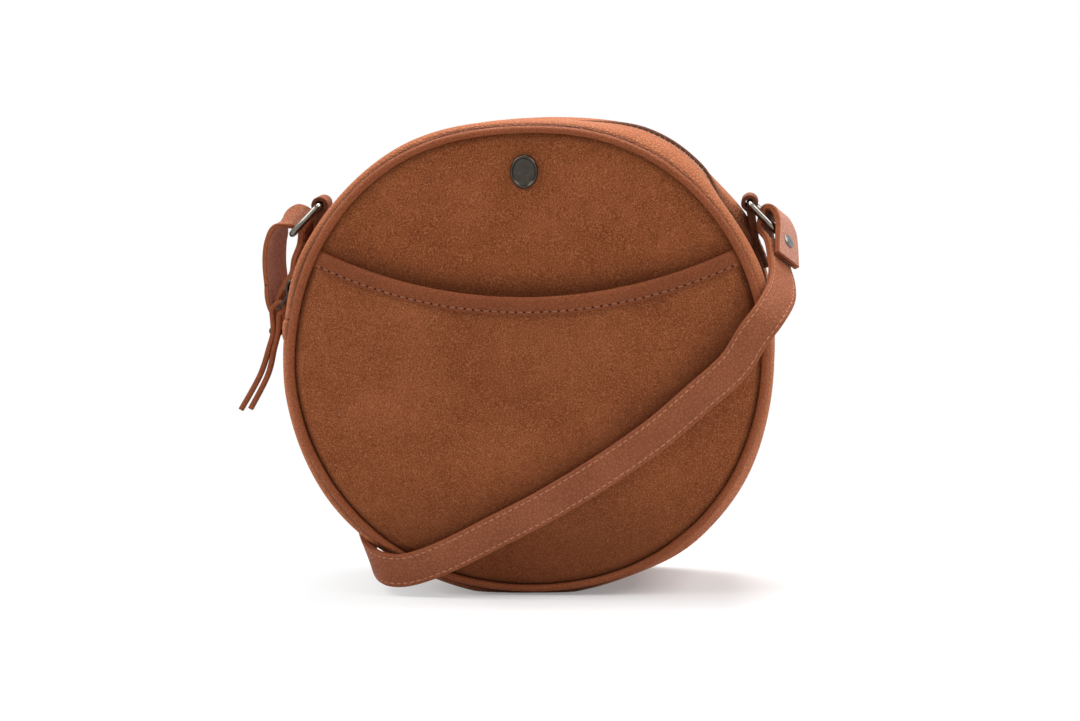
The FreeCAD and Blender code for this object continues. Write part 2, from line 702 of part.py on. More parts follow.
revolve(base_core, sketch(base_core, "section", "XY_Plane", [core_loop], {(0, 1): ("crown_arc", -1)}))
about_axis(base_core)
foot_plate = doc.addObject("Part::Common", "foot_plate")
foot_plate.Base = base_core
foot_plate.Tool = foot_slab
base_join = doc.addObject("Part::Fuse", "base_join")
base_join.Base = base_shell
base_join.Tool = foot_plate
gusset_base = cut("gusset_base", base_join, floor_block)
gusset_base.Label = "gusset_base"
subparts.append(gusset_base)

# Zip teeth: a bead along each tape with teeth that mesh along the middle.
follow("back_teeth_turn", "=90 - teeth_start")
follow("front_teeth_turn", "=90 - teeth_start + pitch_angle / 2")
for face, side in (("front", -1), ("back", 1)):
    sign = "-" if side < 0 else ""
    other = "" if side < 0 else "-"
    teeth = body("zip_teeth_" + face)
    tooth_sk = sketch(
        teeth, "tooth", "XY_Plane",
        [[("-tooth_half", other + "tooth_reach"), ("tooth_half", other + "tooth_reach"),
          ("tooth_half", sign + "tooth_root"), ("-tooth_half", sign + "tooth_root")]],
    )
    tooth_sk.AttachmentOffset = FreeCAD.Placement(Vector(0, 0, dim("tooth_bottom")), FreeCAD.Rotation())
    tooth_sk.setExpression("AttachmentOffset.Base.z", tie("tooth_bottom"))
    tooth = pad(teeth, tooth_sk, "tooth_tall", False, "tooth")
    bead_sk = sketch(
        teeth, "bead", "YZ_Plane",
        [[(sign + "bead_inner", "tape_bottom"), (sign + "tooth_root", "tape_bottom"),
          (sign + "tooth_root", "tape_top"), (sign + "bead_inner", "tape_top")]],
    )
    bead = teeth.newObject("PartDesign::Revolution", teeth.Name + "_bead")
    bead.Profile = bead_sk
    bead.ReferenceAxis = (plane(teeth, "Y_Axis"), [""])
    bead.Angle = dim("teeth_sweep")
    bead.setExpression("Angle", tie("teeth_sweep"))
    doc.recompute()
    row = teeth.newObject("PartDesign::PolarPattern", teeth.Name + "_row")
    row.Originals = [tooth]
    row.Axis = (plane(teeth, "Y_Axis"), [""])
    row.Angle = dim("teeth_sweep")
    row.setExpression("Angle", tie("teeth_sweep"))
    row.Occurrences = int(dim("teeth_count"))
    row.setExpression("Occurrences", tie("teeth_count"))
    teeth.Tip = row
    at_angle(teeth, face + "_teeth_turn")

# Stops: one clip on each tape above the slider, and one across both tapes at the other end.
follow("top_stop_turn", "=90 - top_stop_angle")
follow("low_stop_turn", "=90 - low_stop_angle")
follow("stop_inner", "=tooth_reach")
follow("stop_outer", "=tape_inner - ply_gap")
for face, side in (("front", -1), ("back", 1)):
    sign = "-" if side < 0 else ""
    stop = body("zip_top_stop_" + face)
    stop_sk = sketch(
        stop, "section", "YZ_Plane",
        [box_loop(sign + "stop_inner", sign + "stop_outer", "tooth_bottom", "tooth_top")],
    )
    pad(stop, stop_sk, "stop_long")
    at_angle(stop, "top_stop_turn")
low_stop = body("zip_bottom_stop")
low_stop_sk = sketch(
    low_stop, "section", "YZ_Plane",
    [box_loop("-stop_outer", "stop_outer", "tooth_bottom", "tooth_top")],
)
pad(low_stop, low_stop_sk, "stop_long")
at_angle(low_stop, "low_stop_turn")

# Slider: two plates joined by a wedge, flanges round the tapes and a bail on top.
follow("mouth_half", "=slider_wide / 2")
follow("tail_half", "=slider_tail / 2")
follow("flange_in", "=mouth_half - flange_wide")
follow("wedge_half", "=wedge_wide / 2")
follow("wedge_front", "=slider_half - wedge_long")
follow("top_flange", "=top_plate_low - flange_top_low")
follow("low_flange", "=flange_low_high - low_plate_high")
follow("throat", "=top_plate_low - low_plate_high")
slider = body("zip_slider")


def level_sketch(owner, name, loops, level):
    """Sketch parallel to the body's XY plane at a named height."""
    sk = sketch(owner, name, "XY_Plane", loops)
    sk.AttachmentOffset = FreeCAD.Placement(Vector(0, 0, dim(level)), FreeCAD.Rotation())
    sk.setExpression("AttachmentOffset.Base.z", tie(level))
    return sk


shield = [
    ("-slider_half", "-mouth_half"), ("zero", "-mouth_half"), ("slider_half", "-tail_half"),
    ("slider_half", "tail_half"), ("zero", "mouth_half"), ("-slider_half", "mouth_half"),
]
pad(slider, level_sketch(slider, "low_outline", [shield], "low_plate_low"), "slider_plate", False, "low")
wedge = [("-slider_half", "zero"), ("-wedge_front", "-wedge_half"), ("zero", "zero"),
         ("-wedge_front", "wedge_half")]
pad(slider, level_sketch(slider, "wedge_outline", [wedge], "low_plate_high"), "throat", False, "wedge")
pad(slider, level_sketch(slider, "top_outline", [shield], "top_plate_low"), "slider_plate", False, "top")
for name, level, tall in (("top_flange", "flange_top_low", "top_flange"),
                          ("low_flange", "low_plate_high", "low_flange")):
    edges = [box_loop("-slider_half", "zero", "flange_in", "mouth_half"),
             box_loop("-slider_half", "zero", "-mouth_half", "-flange_in")]
    pad(slider, level_sketch(slider, name, edges, level), tall, False, name)
bail_sk = sketch(
    slider, "bail_arch", "XZ_Plane",
    [[("-bail_half", "top_plate_high"), ("-bail_inner", "top_plate_high"),
      ("-bail_inner", "bail_under"), ("bail_inner", "bail_under"),
      ("bail_inner", "top_plate_high"), ("bail_half", "top_plate_high"),
      ("bail_half", "bail_under"), ("bail_inner", "bail_high"),
      ("-bail_inner", "bail_high"), ("-bail_half", "bail_under")]],
)
pad(slider, bail_sk, "bail_wide", True, "bail")
at_angle(slider, "slider_turn")

# Puller: a plate with a window for the bail and a slot for the thong, hung on a pin.
follow("pin_x", "=pin_level * cos(slider_angle * 1deg) - pin_back * sin(slider_angle * 1deg)")
follow("pin_z", "=centre_height + pin_level * sin(slider_angle * 1deg)"
       " + pin_back * cos(slider_angle * 1deg)")
follow("puller_aim", "=slider_angle + puller_angle")
follow("puller_turn", "=-puller_aim")
follow("corner_x", "=puller_end - puller_bar / 2")
follow("corner_y", "=puller_half - puller_leg / 2")
puller = body("zip_puller")
puller_sk = sketch(
    puller, "outline", "XY_Plane",
    [[("zero", "-puller_half"), ("corner_x", "-puller_half"), ("puller_end", "-corner_y"),
      ("puller_end", "corner_y"), ("corner_x", "puller_half"), ("zero", "puller_half")],
     box_loop("pin_half", "window_long", "-puller_leg_in", "puller_leg_in"),
     box_loop("slot_near", "slot_far", "-slot_half", "slot_half")],
)
pad(puller, puller_sk, "puller_plate", True, "plate")
pin_sk = round_sketch(puller, "pin", "XZ_Plane", [("zero", "zero", "pin_dia")])
pad(puller, pin_sk, "puller_wide", True, "pin")
bar_sk = round_sketch(puller, "bar", "XZ_Plane", [("puller_long", "zero", "puller_bar")])
pad(puller, bar_sk, "puller_wide", True, "bar")
puller.Placement = FreeCAD.Placement(
    Vector(dim("pin_x"), 0, dim("pin_z")), FreeCAD.Rotation(Y_AXIS, dim("puller_turn"))
)
puller.setExpression("Placement.Base.x", tie("pin_x"))
puller.setExpression("Placement.Base.z", tie("pin_z"))
puller.setExpression("Placement.Rotation.Angle", tie("puller_turn"))

# Thong: one strip through the puller's slot, its two tails riveted under the fold.
aim = math.radians(dim("puller_aim"))
bar_spot = Vector(
    dim("pin_x") + dim("puller_long") * math.cos(aim), 0,
    dim("pin_z") + dim("puller_long") * math.sin(aim),
)
fold_reach = dim("puller_bar") / 2 + dim("slot_long") / 2
fold_side = dim("puller_plate") / 2 + dim("thong_play") + dim("thong_plate") / 2
fold = ((1.6, 1.0), (0.4, 1.06), (-0.6, 0.84), (-1, 0), (-0.6, -0.84), (0.4, -1.06), (1.6, -1.0))
outer_tail = ((-3.3, -11.0), (-5.4, -18.5), (-10.0, -31.5), (-19.3, -47.6))
inner_tail = ((-1.0, -11.4), (-3.1, -19.1), (-6.4, -31.5), (-14.8, -47.2))


def thong_place(along, across):
    """Point beside the puller's lower bar, from shares of the fold's reach and half width."""
    u, v = along * fold_reach, across * fold_side
    return (
        bar_spot.x + u * math.cos(aim) + v * math.sin(aim),
        0,
        bar_spot.z + u * math.sin(aim) - v * math.cos(aim),
    )


across_y = (0, 1, 0)
thong_stations = [((bar_spot.x + u, 0, bar_spot.z + v), across_y) for u, v in reversed(outer_tail)]
thong_stations += [(thong_place(u, v), across_y) for u, v in fold]
thong_stations += [((bar_spot.x + u, 0, bar_spot.z + v), across_y) for u, v in inner_tail]
thong_solid, thong_rows, thong_length = ribbon(thong_stations, dim("thong_wide"), dim("thong_plate"), 3)


def rivet(label, spot, out, grip, head, shank):
    """Rivet with a domed head on each side of the plies that it joins."""
    rise = dim("head_tall")
    outline = [
        Vector(0, grip / 2 + rise, 0), Vector(head * 0.3, grip / 2 + rise * 0.85, 0),
        Vector(head / 2, grip / 2 + rise * 0.35, 0), Vector(head / 2, grip / 2, 0),
        Vector(shank / 2, grip / 2, 0), Vector(shank / 2, -grip / 2, 0),
        Vector(head / 2, -grip / 2, 0), Vector(head / 2, -grip / 2 - rise * 0.35, 0),
        Vector(head * 0.3, -grip / 2 - rise * 0.85, 0), Vector(0, -grip / 2 - rise, 0),
    ]
    face = Part.Face(Part.makePolygon(outline + outline[:1]))
    solid = face.revolve(Vector(0, 0, 0), Y_AXIS, 360)
    feature = free_shape(label, solid)
    feature.Placement = FreeCAD.Placement(spot, FreeCAD.Rotation(Y_AXIS, out))
    return feature


def rivet_room(spot, out, grip, head, shank):
    """What a rivet takes out of the leather: a hole for its shank and a pressed seat for each head."""
    across = dim(shank) + dim("rivet_play")
    room = Part.makeCylinder(across / 2, 2 * grip, spot - out * grip, out)
    across = dim(head) + dim("rivet_play")
    for side in (out, out * -1):
        seat = spot + side * (grip / 2 - dim("rivet_play") / 2)
        room = room.fuse(Part.makeCylinder(across / 2, grip / 2, seat, side))
    return room


thong_up = Vector(*thong_stations[3][0])
thong_down = Vector(*thong_stations[-4][0])
thong_spot = (thong_up + thong_down) * 0.5
thong_out = thong_up - thong_down
thong_grip = thong_out.Length + dim("thong_plate") + 2 * dim("ply_gap")
thong_out.normalize()
thong_solid = thong_solid.cut(
    rivet_room(thong_spot, thong_out, thong_grip, "thong_rivet_head", "thong_rivet_shank")
)
free_shape("pull_thong", thong_solid)
rivet("thong_rivet", thong_spot, thong_out, thong_grip, dim("thong_rivet_head"), dim("thong_rivet_shank"))

# Rings: bent wire, hung in the eyes of the two tabs.
follow("ring_far", "=ring_long - ring_bend")
follow("ring_side", "=ring_half - ring_bend")
follow("left_ring_turn", "=180 - ring_slope")
follow("left_eye_x", "=-eye_x")
for face, place, turn in (("left", "left_eye_x", "left_ring_turn"), ("right", "eye_x", "ring_slope")):
    ring = body(face + "_ring")
    path = [
        ("zero", "zero"), ("zero", "-ring_side"), ("ring_bend", "-ring_half"),
        ("ring_far", "-ring_half"), ("ring_long", "-ring_side"), ("ring_long", "ring_side"),
        ("ring_far", "ring_half"), ("ring_bend", "ring_half"), ("zero", "ring_side"),
    ]
    bends = {(0, i): ("ring_bend", -1) for i in (1, 3, 5, 7)}
    path_sk = sketch(ring, "path", "XY_Plane", [path], bends)
    wire_sk = round_sketch(ring, "wire", "XZ_Plane", [("zero", "zero", "ring_wire")])
    doc.recompute()
    bend = ring.newObject("PartDesign::AdditivePipe", ring.Name + "_bend")
    bend.Profile = wire_sk
    bend.Spine = (path_sk, ["Edge%d" % (i + 1) for i in range(len(path))])
    ring.Placement = FreeCAD.Placement(
        Vector(dim(place), dim("ring_y"), dim("eye_z")), FreeCAD.Rotation(Y_AXIS, dim(turn))
    )
    ring.setExpression("Placement.Base.x", tie(place))
    ring.setExpression("Placement.Base.y", tie("ring_y"))
    ring.setExpression("Placement.Base.z", tie("eye_z"))
    ring.setExpression("Placement.Rotation.Angle", tie(turn))

# Ring tabs: leather folded round the ring's bar, its foot sewn to the gusset's back band.
follow("foot_top", "=foot_level + tab_thick")
follow("foot_far", "=tab_tilt + tab_foot / foot_level * 180 / pi")
for spot, angle in (("near", "tab_tilt"), ("far", "foot_far")):
    for ply, level in (("in", "foot_level"), ("out", "foot_top")):
        follow("foot_%s_%s_x" % (spot, ply), "=%s * sin(%s * 1deg)" % (level, angle))
        follow("foot_%s_%s_z" % (spot, ply), "=%s * cos(%s * 1deg)" % (level, angle))
follow("eye_in_z", "=eye_radius - tab_ply")
follow("eye_out_z", "=eye_radius + tab_ply")
follow("eye_across", "=2 * eye_outer")
follow("eye_bore", "=2 * eye_inner")
follow("left_tab_turn", "=-90 + eye_angle")
follow("right_tab_turn", "=90 - eye_angle")
for face, side in (("left", -1), ("right", 1)):
    sign = "-" if side < 0 else ""
    tab = body(face + "_ring_tab")
    foot = [
        (sign + "foot_near_in_x", "foot_near_in_z"), (sign + "foot_far_in_x", "foot_far_in_z"),
        (sign + "foot_far_out_x", "foot_far_out_z"), (sign + "foot_near_out_x", "foot_near_out_z"),
    ]
    bends = {(0, 0): ("foot_level", side), (0, 2): ("foot_top", -side)}
    pad(tab, sketch(tab, "foot", "XZ_Plane", [foot], bends), "tab_wide", True, "foot")
    web = [
        ("zero", "eye_in_z"), (sign + "foot_near_in_x", "foot_near_in_z"),
        (sign + "foot_near_out_x", "foot_near_out_z"), ("zero", "eye_out_z"),
    ]
    pad(tab, sketch(tab, "web", "XZ_Plane", [web]), "tab_wide", True, "web")
    eye_sk = round_sketch(tab, "eye", "XZ_Plane", [("zero", "eye_radius", "eye_across")])
    pad(tab, eye_sk, "tab_wide", True, "eye")
    pocket(tab, round_sketch(tab, "bore", "XZ_Plane", [("zero", "eye_radius", "eye_bore")]))
    at_angle(tab, face + "_tab_turn")
    tab.Placement.Base.y = dim("ring_y")
    tab.setExpression("Placement.Base.y", tie("ring_y"))

# Shoulder strap: one long strip, each end folded round a ring's outer bar and riveted back on itself.
# Each station is a point on the strip's middle line and the direction across the strip.
# The stations of the two folded ends are counted from the middle of the ring's outer bar.
follow("ring_bar_x", "=eye_x + ring_long * cos(ring_slope * 1deg)")
follow("ring_bar_z", "=eye_z - ring_long * sin(ring_slope * 1deg)")
RIGHT_END = (
    ((3.3, -21.5, -10.6), (0.62, 0.50, -0.60)),
    ((3.6, -14.0, -4.0), (0.58, 0.58, -0.57)),
    ((3.4, -7.0, 2.4), (0.50, 0.70, -0.50)),
    ((0.7, -1.6, 7.7), (0.42, 0.80, -0.43)),
    ((-3.3, 0.3, 8.7), (0.38, 0.84, -0.38)),
    ((-5.2, -0.2, 5.5), (0.32, 0.89, -0.32)),
    ((-5.5, -3.5, -1.0), (0.38, 0.82, -0.42)),
    ((-1.3, -12.0, -6.0), (0.55, 0.62, -0.55)),
    ((0.6, -20.5, -12.5), (0.62, 0.50, -0.60)),
)
FRONT_RUN = (
    ((113.6, -16.4, 141.4), (0.72, 0.42, -0.55)),
    ((112.6, -29.2, 135.4), (0.84, 0.25, -0.48)),
    ((108.0, -39.0, 128.3), (0.86, 0.10, -0.50)),
    ((101.0, -43.0, 119.4), (0.78, 0.0, -0.62)),
    ((92.5, -44.0, 106.2), (0.72, 0.0, -0.69)),
    ((77.6, -44.4, 92.6), (0.68, 0.0, -0.73)),
    ((57.8, -45.0, 75.6), (0.62, 0.0, -0.78)),
    ((33.6, -45.0, 58.6), (0.55, 0.0, -0.83)),
    ((9.2, -44.4, 43.6), (0.50, 0.0, -0.87)),
    ((-13.2, -43.2, 31.6), (0.48, 0.0, -0.88)),
    ((-33.6, -41.4, 20.8), (0.42, 0.0, -0.91)),
    ((-47.4, -39.6, 14.8), (0.26, 0.0, -0.97)),
    ((-57.6, -37.8, 12.0), (0.10, 0.0, -0.99)),
    ((-66.0, -34.6, 12.4), (0.15, 0.0, -0.98)),
    ((-72.6, -25.0, 14.6), (0.30, 0.0, -0.95)),
    ((-76.6, -11.0, 18.2), (0.40, 0.0, -0.91)),
    ((-78.6, 4.0, 21.0), (0.42, 0.05, -0.90)),
    ((-79.2, 20.0, 22.0), (0.36, 0.0, -0.93)),
    ((-77.0, 33.5, 19.4), (0.20, -0.05, -0.97)),
    ((-67.6, 44.0, 12.4), (0.0, 0.0, -1.0)),
)
LEFT_RISE = (
    ((-72.0, 85.0, 10.0), (-0.20, 0.10, -0.97)),
    ((-88.0, 80.0, 24.0), (-0.50, 0.60, -0.55)),
    ((-97.0, 70.0, 46.0), (-0.25, 0.90, 0.10)),
    ((-102.0, 58.0, 70.0), (0.10, 0.90, 0.40)),
    ((-107.0, 47.0, 92.0), (0.30, 0.86, 0.40)),
    ((-111.6, 35.0, 110.0), (0.42, 0.86, 0.25)),
)
LEFT_END = (
    ((-8.1, 1.1, -34.3), (0.48, 0.87, 0.05)),
    ((-9.1, 0.1, -24.3), (0.50, 0.86, 0.0)),
    ((-10.3, 0.0, -13.3), (0.48, 0.87, 0.0)),
    ((-8.9, 0.0, -2.3), (0.40, 0.91, 0.0)),
    ((-4.9, 0.0, 6.1), (0.30, 0.95, 0.0)),
    ((0.3, 0.0, 8.1), (0.22, 0.97, 0.0)),
    ((4.5, 0.0, 3.7), (0.10, 0.99, 0.0)),
    ((4.3, 0.0, -5.3), (0.14, 0.99, 0.0)),
    ((-1.5, 0.0, -14.3), (0.38, 0.92, 0.0)),
    ((-4.9, 0.0, -23.3), (0.48, 0.87, 0.0)),
    ((-4.1, 0.0, -31.3), (0.48, 0.87, 0.0)),
)
# What is left of the strap is folded to and fro on its edge behind the bag.
ROW_Y, ROW_RIGHT, ROW_LEFT, ROW_STEP, ROW_COUNT, ROW_Z = 46.0, 30.0, -48.0, 8.0, 6, 8.0
UPRIGHT = (0.0, 0.0, -1.0)
folded = []
for number in range(ROW_COUNT):
    row_y = ROW_Y + number * ROW_STEP
    ends = (ROW_LEFT, ROW_RIGHT) if number % 2 == 0 else (ROW_RIGHT, ROW_LEFT)
    for share in (0.0, 0.33, 0.67, 1.0):
        folded.append(((ends[0] + (ends[1] - ends[0]) * share, row_y, ROW_Z), UPRIGHT))
    if number < ROW_COUNT - 1:
        turn_side = 1 if number % 2 == 0 else -1
        for angle in (-45, 0, 45):
            folded.append((
                (ends[1] + turn_side * ROW_STEP / 2 * (1 + math.cos(math.radians(angle))),
                 row_y + ROW_STEP / 2 + ROW_STEP / 2 * math.sin(math.radians(angle)), ROW_Z),
                UPRIGHT,
            ))
right_bar = Vector(dim("ring_bar_x"), dim("ring_y"), dim("ring_bar_z"))
left_bar = Vector(-dim("ring_bar_x"), dim("ring_y"), dim("ring_bar_z"))
right_end = [(tuple(Vector(*place) + right_bar), across) for place, across in RIGHT_END]
left_end = [(tuple(Vector(*place) + left_bar), across) for place, across in LEFT_END]
strap_stations = right_end + list(FRONT_RUN) + folded + list(LEFT_RISE) + left_end
strap_solid, strap_rows, strap_length = ribbon(strap_stations, dim("strap_wide"), dim("strap_plate"), 3)


def strap_joint(outer, inner):
    """Middle, direction and grip of a rivet square through two runs of the strap at two stations."""
    spot, along, across = strap_rows[3 * outer]
    across = across - along * across.dot(along)
    across.normalize()
    out = along.cross(across)
    apart = strap_rows[3 * inner][0] - spot
    reach = apart.dot(out)
    grip = abs(reach) + dim("strap_plate") + 2 * dim("ply_gap")
    return spot + out * (reach / 2), out, grip


last_station = len(strap_stations) - 1
for face, outer, inner in (("right", 1, 7), ("left", last_station - 1, last_station - 9)):
    spot, out, grip = strap_joint(outer, inner)
    strap_solid = strap_solid.cut(rivet_room(spot, out, grip, "strap_rivet_head", "strap_rivet_shank"))
    rivet(face + "_strap_rivet", spot, out, grip, dim("strap_rivet_head"), dim("strap_rivet_shank"))
free_shape("shoulder_strap", strap_solid)

doc.recompute()
for item in doc.Objects:
    if "Invalid" in item.State or "Error" in item.State:
        raise RuntimeError("not built: " + item.Name)
for item in subparts:
    if item.Shape.isNull() or not item.Shape.isValid() or len(item.Shape.Solids) != 1:
        raise RuntimeError("not one valid solid: " + item.Label)

os.makedirs("parts", exist_ok=True)
for item in subparts:
    item.Shape.exportStep("parts/%s.step" % item.Label)
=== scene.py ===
"""Round crossbody bag in suede and leather: its finished surfaces, light, floor and camera.

Shapes are worked out in millimetres, X right, Y to the back, Z up from the floor, and scaled to metres
when a piece is finished. Angles are about the bag's own axis, from +X towards +Z.
"""

from math import atan2, cos, degrees, exp, hypot, pi, radians, sin, sqrt

import bmesh
import bpy
from bmesh import ops
from mathutils import Matrix, Quaternion, Vector, noise


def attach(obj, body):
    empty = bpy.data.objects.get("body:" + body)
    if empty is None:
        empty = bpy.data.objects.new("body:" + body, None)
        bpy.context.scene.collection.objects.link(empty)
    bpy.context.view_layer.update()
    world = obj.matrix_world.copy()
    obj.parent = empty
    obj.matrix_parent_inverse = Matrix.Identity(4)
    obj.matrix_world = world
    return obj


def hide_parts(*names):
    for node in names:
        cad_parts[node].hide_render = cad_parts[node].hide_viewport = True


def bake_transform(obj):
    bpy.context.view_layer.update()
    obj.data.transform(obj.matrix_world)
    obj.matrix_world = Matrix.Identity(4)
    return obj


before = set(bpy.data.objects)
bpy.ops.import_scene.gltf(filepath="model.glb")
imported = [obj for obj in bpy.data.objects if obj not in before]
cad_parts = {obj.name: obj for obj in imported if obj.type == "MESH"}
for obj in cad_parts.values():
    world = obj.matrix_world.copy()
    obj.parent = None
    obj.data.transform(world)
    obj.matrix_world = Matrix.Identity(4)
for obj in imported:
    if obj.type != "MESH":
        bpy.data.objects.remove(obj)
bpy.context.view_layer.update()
scene = bpy.context.scene

# Body of the bag.
MID = 108.0  # height of the bag's axis
CROWN = 110.0  # gusset at its crown
CROWN_ARC = 151.5  # crossways curve of the gusset
SEAM_EDGE = 29.6  # where the gusset turns into the groove beside the piping
HIDE = 1.8  # gusset leather
SEAM_RING, SEAM_Y, PIPING = 106.2, 32.2, 1.75  # piping: its ring, its distance from the middle, its radius
PANEL = 104.0  # where a panel's dome begins
PANEL_EDGE = 105.4  # rim of the panels, hidden in the piping
PANEL_FACE, POCKET_FACE = 31.8, 33.4  # faces at that edge, from the middle
SUEDE = 1.4  # suede of the panels
ZIP_END = 9.0  # zip ends, degrees above the horizontal
ZIP_HALF = 5.0  # leather's edge from the zip's middle
TAPE_TOP, TAPE_LOW, ZIP_LEVEL = 108.0, 107.3, 107.65  # tape's faces and its middle, from the bag's axis
TOOTH_PITCH = 2.6
SLIDER_TURN, SLIDER_FAR = 165.7, 36.7  # where the slider is parked, and where its travel ends
MOUTH_RADIUS, MOUTH_Z = 226.0, 361.7  # curve of the pocket's mouth and the height of its centre
TO_BACK = Vector((0, 1, 0))
# Rings, puller and strap.
RING_Y = 15.5
EYE_REACH, EYE_TURN = 118.5, 33.5  # tab eye from the bag's axis
RIGHT_BAR = Vector((111.689, RING_Y, 160.258))
LEFT_BAR = Vector((-111.689, RING_Y, 160.258))
PULL_BAR = Vector((-116.90, 0, 127.19))  # puller's lower bar
PULL_AIM = 234.7  # where the puller points, in degrees


def ease(low, high, x):
    """0 below low, 1 above high, smooth between."""
    t = min(max((x - low) / (high - low), 0.0), 1.0)
    return t * t * (3 - 2 * t)


def bell(x, middle, width):
    """1 at middle, falling off smoothly to both sides, to about a third at width."""
    return exp(-(((x - middle) / width) ** 2))


# ---- finishes


def shade(red, green, blue):
    """Linear colour from the 0 to 255 values that a screen shows."""
    return tuple(
        (c / 12.92 if c <= 0.04045 else ((c + 0.055) / 1.055) ** 2.4)
        for c in (red / 255, green / 255, blue / 255)
    ) + (1.0,)


def add(tree, kind, **sockets):
    """New node with its plain settings and socket values."""
    made = tree.nodes.new(kind)
    for key, value in sockets.items():
        if hasattr(made, key) and key not in made.inputs:
            setattr(made, key, value)
        else:
            made.inputs[key.replace("_", " ")].default_value = value
    return made


def join(out, into):
    """Link one socket into another of the same tree."""
    out.id_data.links.new(out, into)


def ramp(source, stops):
    """Colour ramp fed by source; stops are (place, screen colour)."""
    made = source.id_data.nodes.new("ShaderNodeValToRGB")
    band = made.color_ramp
    while len(band.elements) < len(stops):
        band.elements.new(0.5)
    for element, (place, colour) in zip(band.elements, stops):
        element.position = place
        element.color = shade(*colour)
    join(source, made.inputs["Fac"])
    return made.outputs["Color"]


def feed(value, into):
    """Put a socket's result or a plain value into a socket."""
    if isinstance(value, bpy.types.NodeSocket):
        join(value, into)
    else:
        into.default_value = value


def mixed(share, first, second):
    """Colour mix by a share; first and second are each a socket or a plain value."""
    made = share.id_data.nodes.new("ShaderNodeMix")
    made.data_type = "RGBA"
    for number, value in ((0, share), (6, first), (7, second)):
        feed(value, made.inputs[number])
    return made.outputs[2]


def sums(kind, first, second):
    """One Math node on a socket and a second socket or number."""
    made = first.id_data.nodes.new("ShaderNodeMath")
    made.operation = kind
    feed(first, made.inputs[0])
    feed(second, made.inputs[1])
    return made.outputs[0]


def either(share, first, second):
    """First shader, going over to the second by a share."""
    made = share.id_data.nodes.new("ShaderNodeMixShader")
    for socket, value in zip(made.inputs, (share, first, second)):
        join(value, socket)
    return made.outputs[0]


def cloud(place, size, detail=3.0, rough=0.55):
    """Noise whose features are about size millimetres."""
    made = add(place.id_data, "ShaderNodeTexNoise", Scale=1000.0 / size, Detail=detail, Roughness=rough)
    join(place, made.inputs["Vector"])
    return made.outputs["Fac"]


def group(name, takes, gives):
    """Empty shader group with named sockets."""
    tree = bpy.data.node_groups.new(name, "ShaderNodeTree")
    kinds = {"v": "NodeSocketVector", "c": "NodeSocketColor", "f": "NodeSocketFloat"}
    for label, kind in takes:
        tree.interface.new_socket(label, in_out="INPUT", socket_type=kinds[kind])
    for label, kind in gives:
        tree.interface.new_socket(label, in_out="OUTPUT", socket_type=kinds[kind])
    return tree, tree.nodes.new("NodeGroupInput"), tree.nodes.new("NodeGroupOutput")


def remap(source, low, high, to_low=0.0, to_high=1.0, kind="LINEAR"):
    """Source stretched from low and high to to_low and to_high."""
    made = add(
        source.id_data, "ShaderNodeMapRange", interpolation_type=kind,
        From_Min=low, From_Max=high, To_Min=to_low, To_Max=to_high,
    )
    join(source, made.inputs["Value"])
    return made.outputs["Result"]


def make_nap():
    """Brushed suede: fine light and dark fibres, patches brushed one way or the other."""
    tree, inn, out = group(
        "suede nap", (("Place", "v"), ("Deep", "c"), ("Plain", "c"), ("Brushed", "c"), ("Glint", "c")),
        (("Color", "c"), ("Height", "f")),
    )
    place = inn.outputs["Place"]
    fibre = cloud(place, 0.58, 3.0, 0.6)
    tuft = cloud(place, 5.5, 4.0, 0.62)
    patch = cloud(place, 34.0, 5.0, 0.6)
    mottled = sums("ADD", sums("MULTIPLY", tuft, 0.3), sums("MULTIPLY", patch, 0.7))
    base = mixed(remap(mottled, 0.37, 0.63), inn.outputs["Plain"], inn.outputs["Brushed"])
    speckled = mixed(remap(fibre, 0.33, 0.50, 0.62, 0.0), base, inn.outputs["Deep"])
    speckled = mixed(remap(fibre, 0.50, 0.70), speckled, inn.outputs["Glint"])
    join(speckled, out.inputs["Color"])
    join(sums("ADD", fibre, sums("MULTIPLY", tuft, 0.5)), out.inputs["Height"])
    return tree


def make_grain():
    """Leather grain: pebbles parted by creases, worn lighter on top, with slow colour drift."""
    tree, inn, out = group(
        "leather grain",
        (("Place", "v"), ("Pebbles", "f"), ("Crease", "c"), ("Hide", "c"), ("Worn", "c")),
        (("Color", "c"), ("Height", "f"), ("Roughness", "f")),
    )
    place = inn.outputs["Place"]
    wander = add(tree, "ShaderNodeTexNoise", Scale=420.0, Detail=2.0)
    join(place, wander.inputs["Vector"])
    drift = add(tree, "ShaderNodeVectorMath", operation="SCALE", Scale=0.0011)
    join(wander.outputs["Color"], drift.inputs[0])
    moved = add(tree, "ShaderNodeVectorMath", operation="ADD")
    join(place, moved.inputs[0])
    join(drift.outputs[0], moved.inputs[1])
    cells = add(tree, "ShaderNodeTexVoronoi", feature="DISTANCE_TO_EDGE")
    join(moved.outputs[0], cells.inputs["Vector"])
    join(inn.outputs["Pebbles"], cells.inputs["Scale"])
    dome = remap(cells.outputs["Distance"], 0.0, 0.32, kind="SMOOTHSTEP")
    pores = cloud(place, 0.55, 2.0)
    slow = remap(cloud(place, 26.0, 3.0), 0.32, 0.68)
    top = mixed(slow, inn.outputs["Hide"], inn.outputs["Worn"])
    crease = remap(cells.outputs["Distance"], 0.0, 0.16, 0.6, 0.0)
    join(mixed(crease, top, inn.outputs["Crease"]), out.inputs["Color"])
    join(sums("ADD", dome, sums("MULTIPLY", pores, 0.35)), out.inputs["Height"])
    join(remap(dome, 0.0, 1.0, 0.66, 0.5), out.inputs["Roughness"])
    return tree


NAP = make_nap()
GRAIN = make_grain()


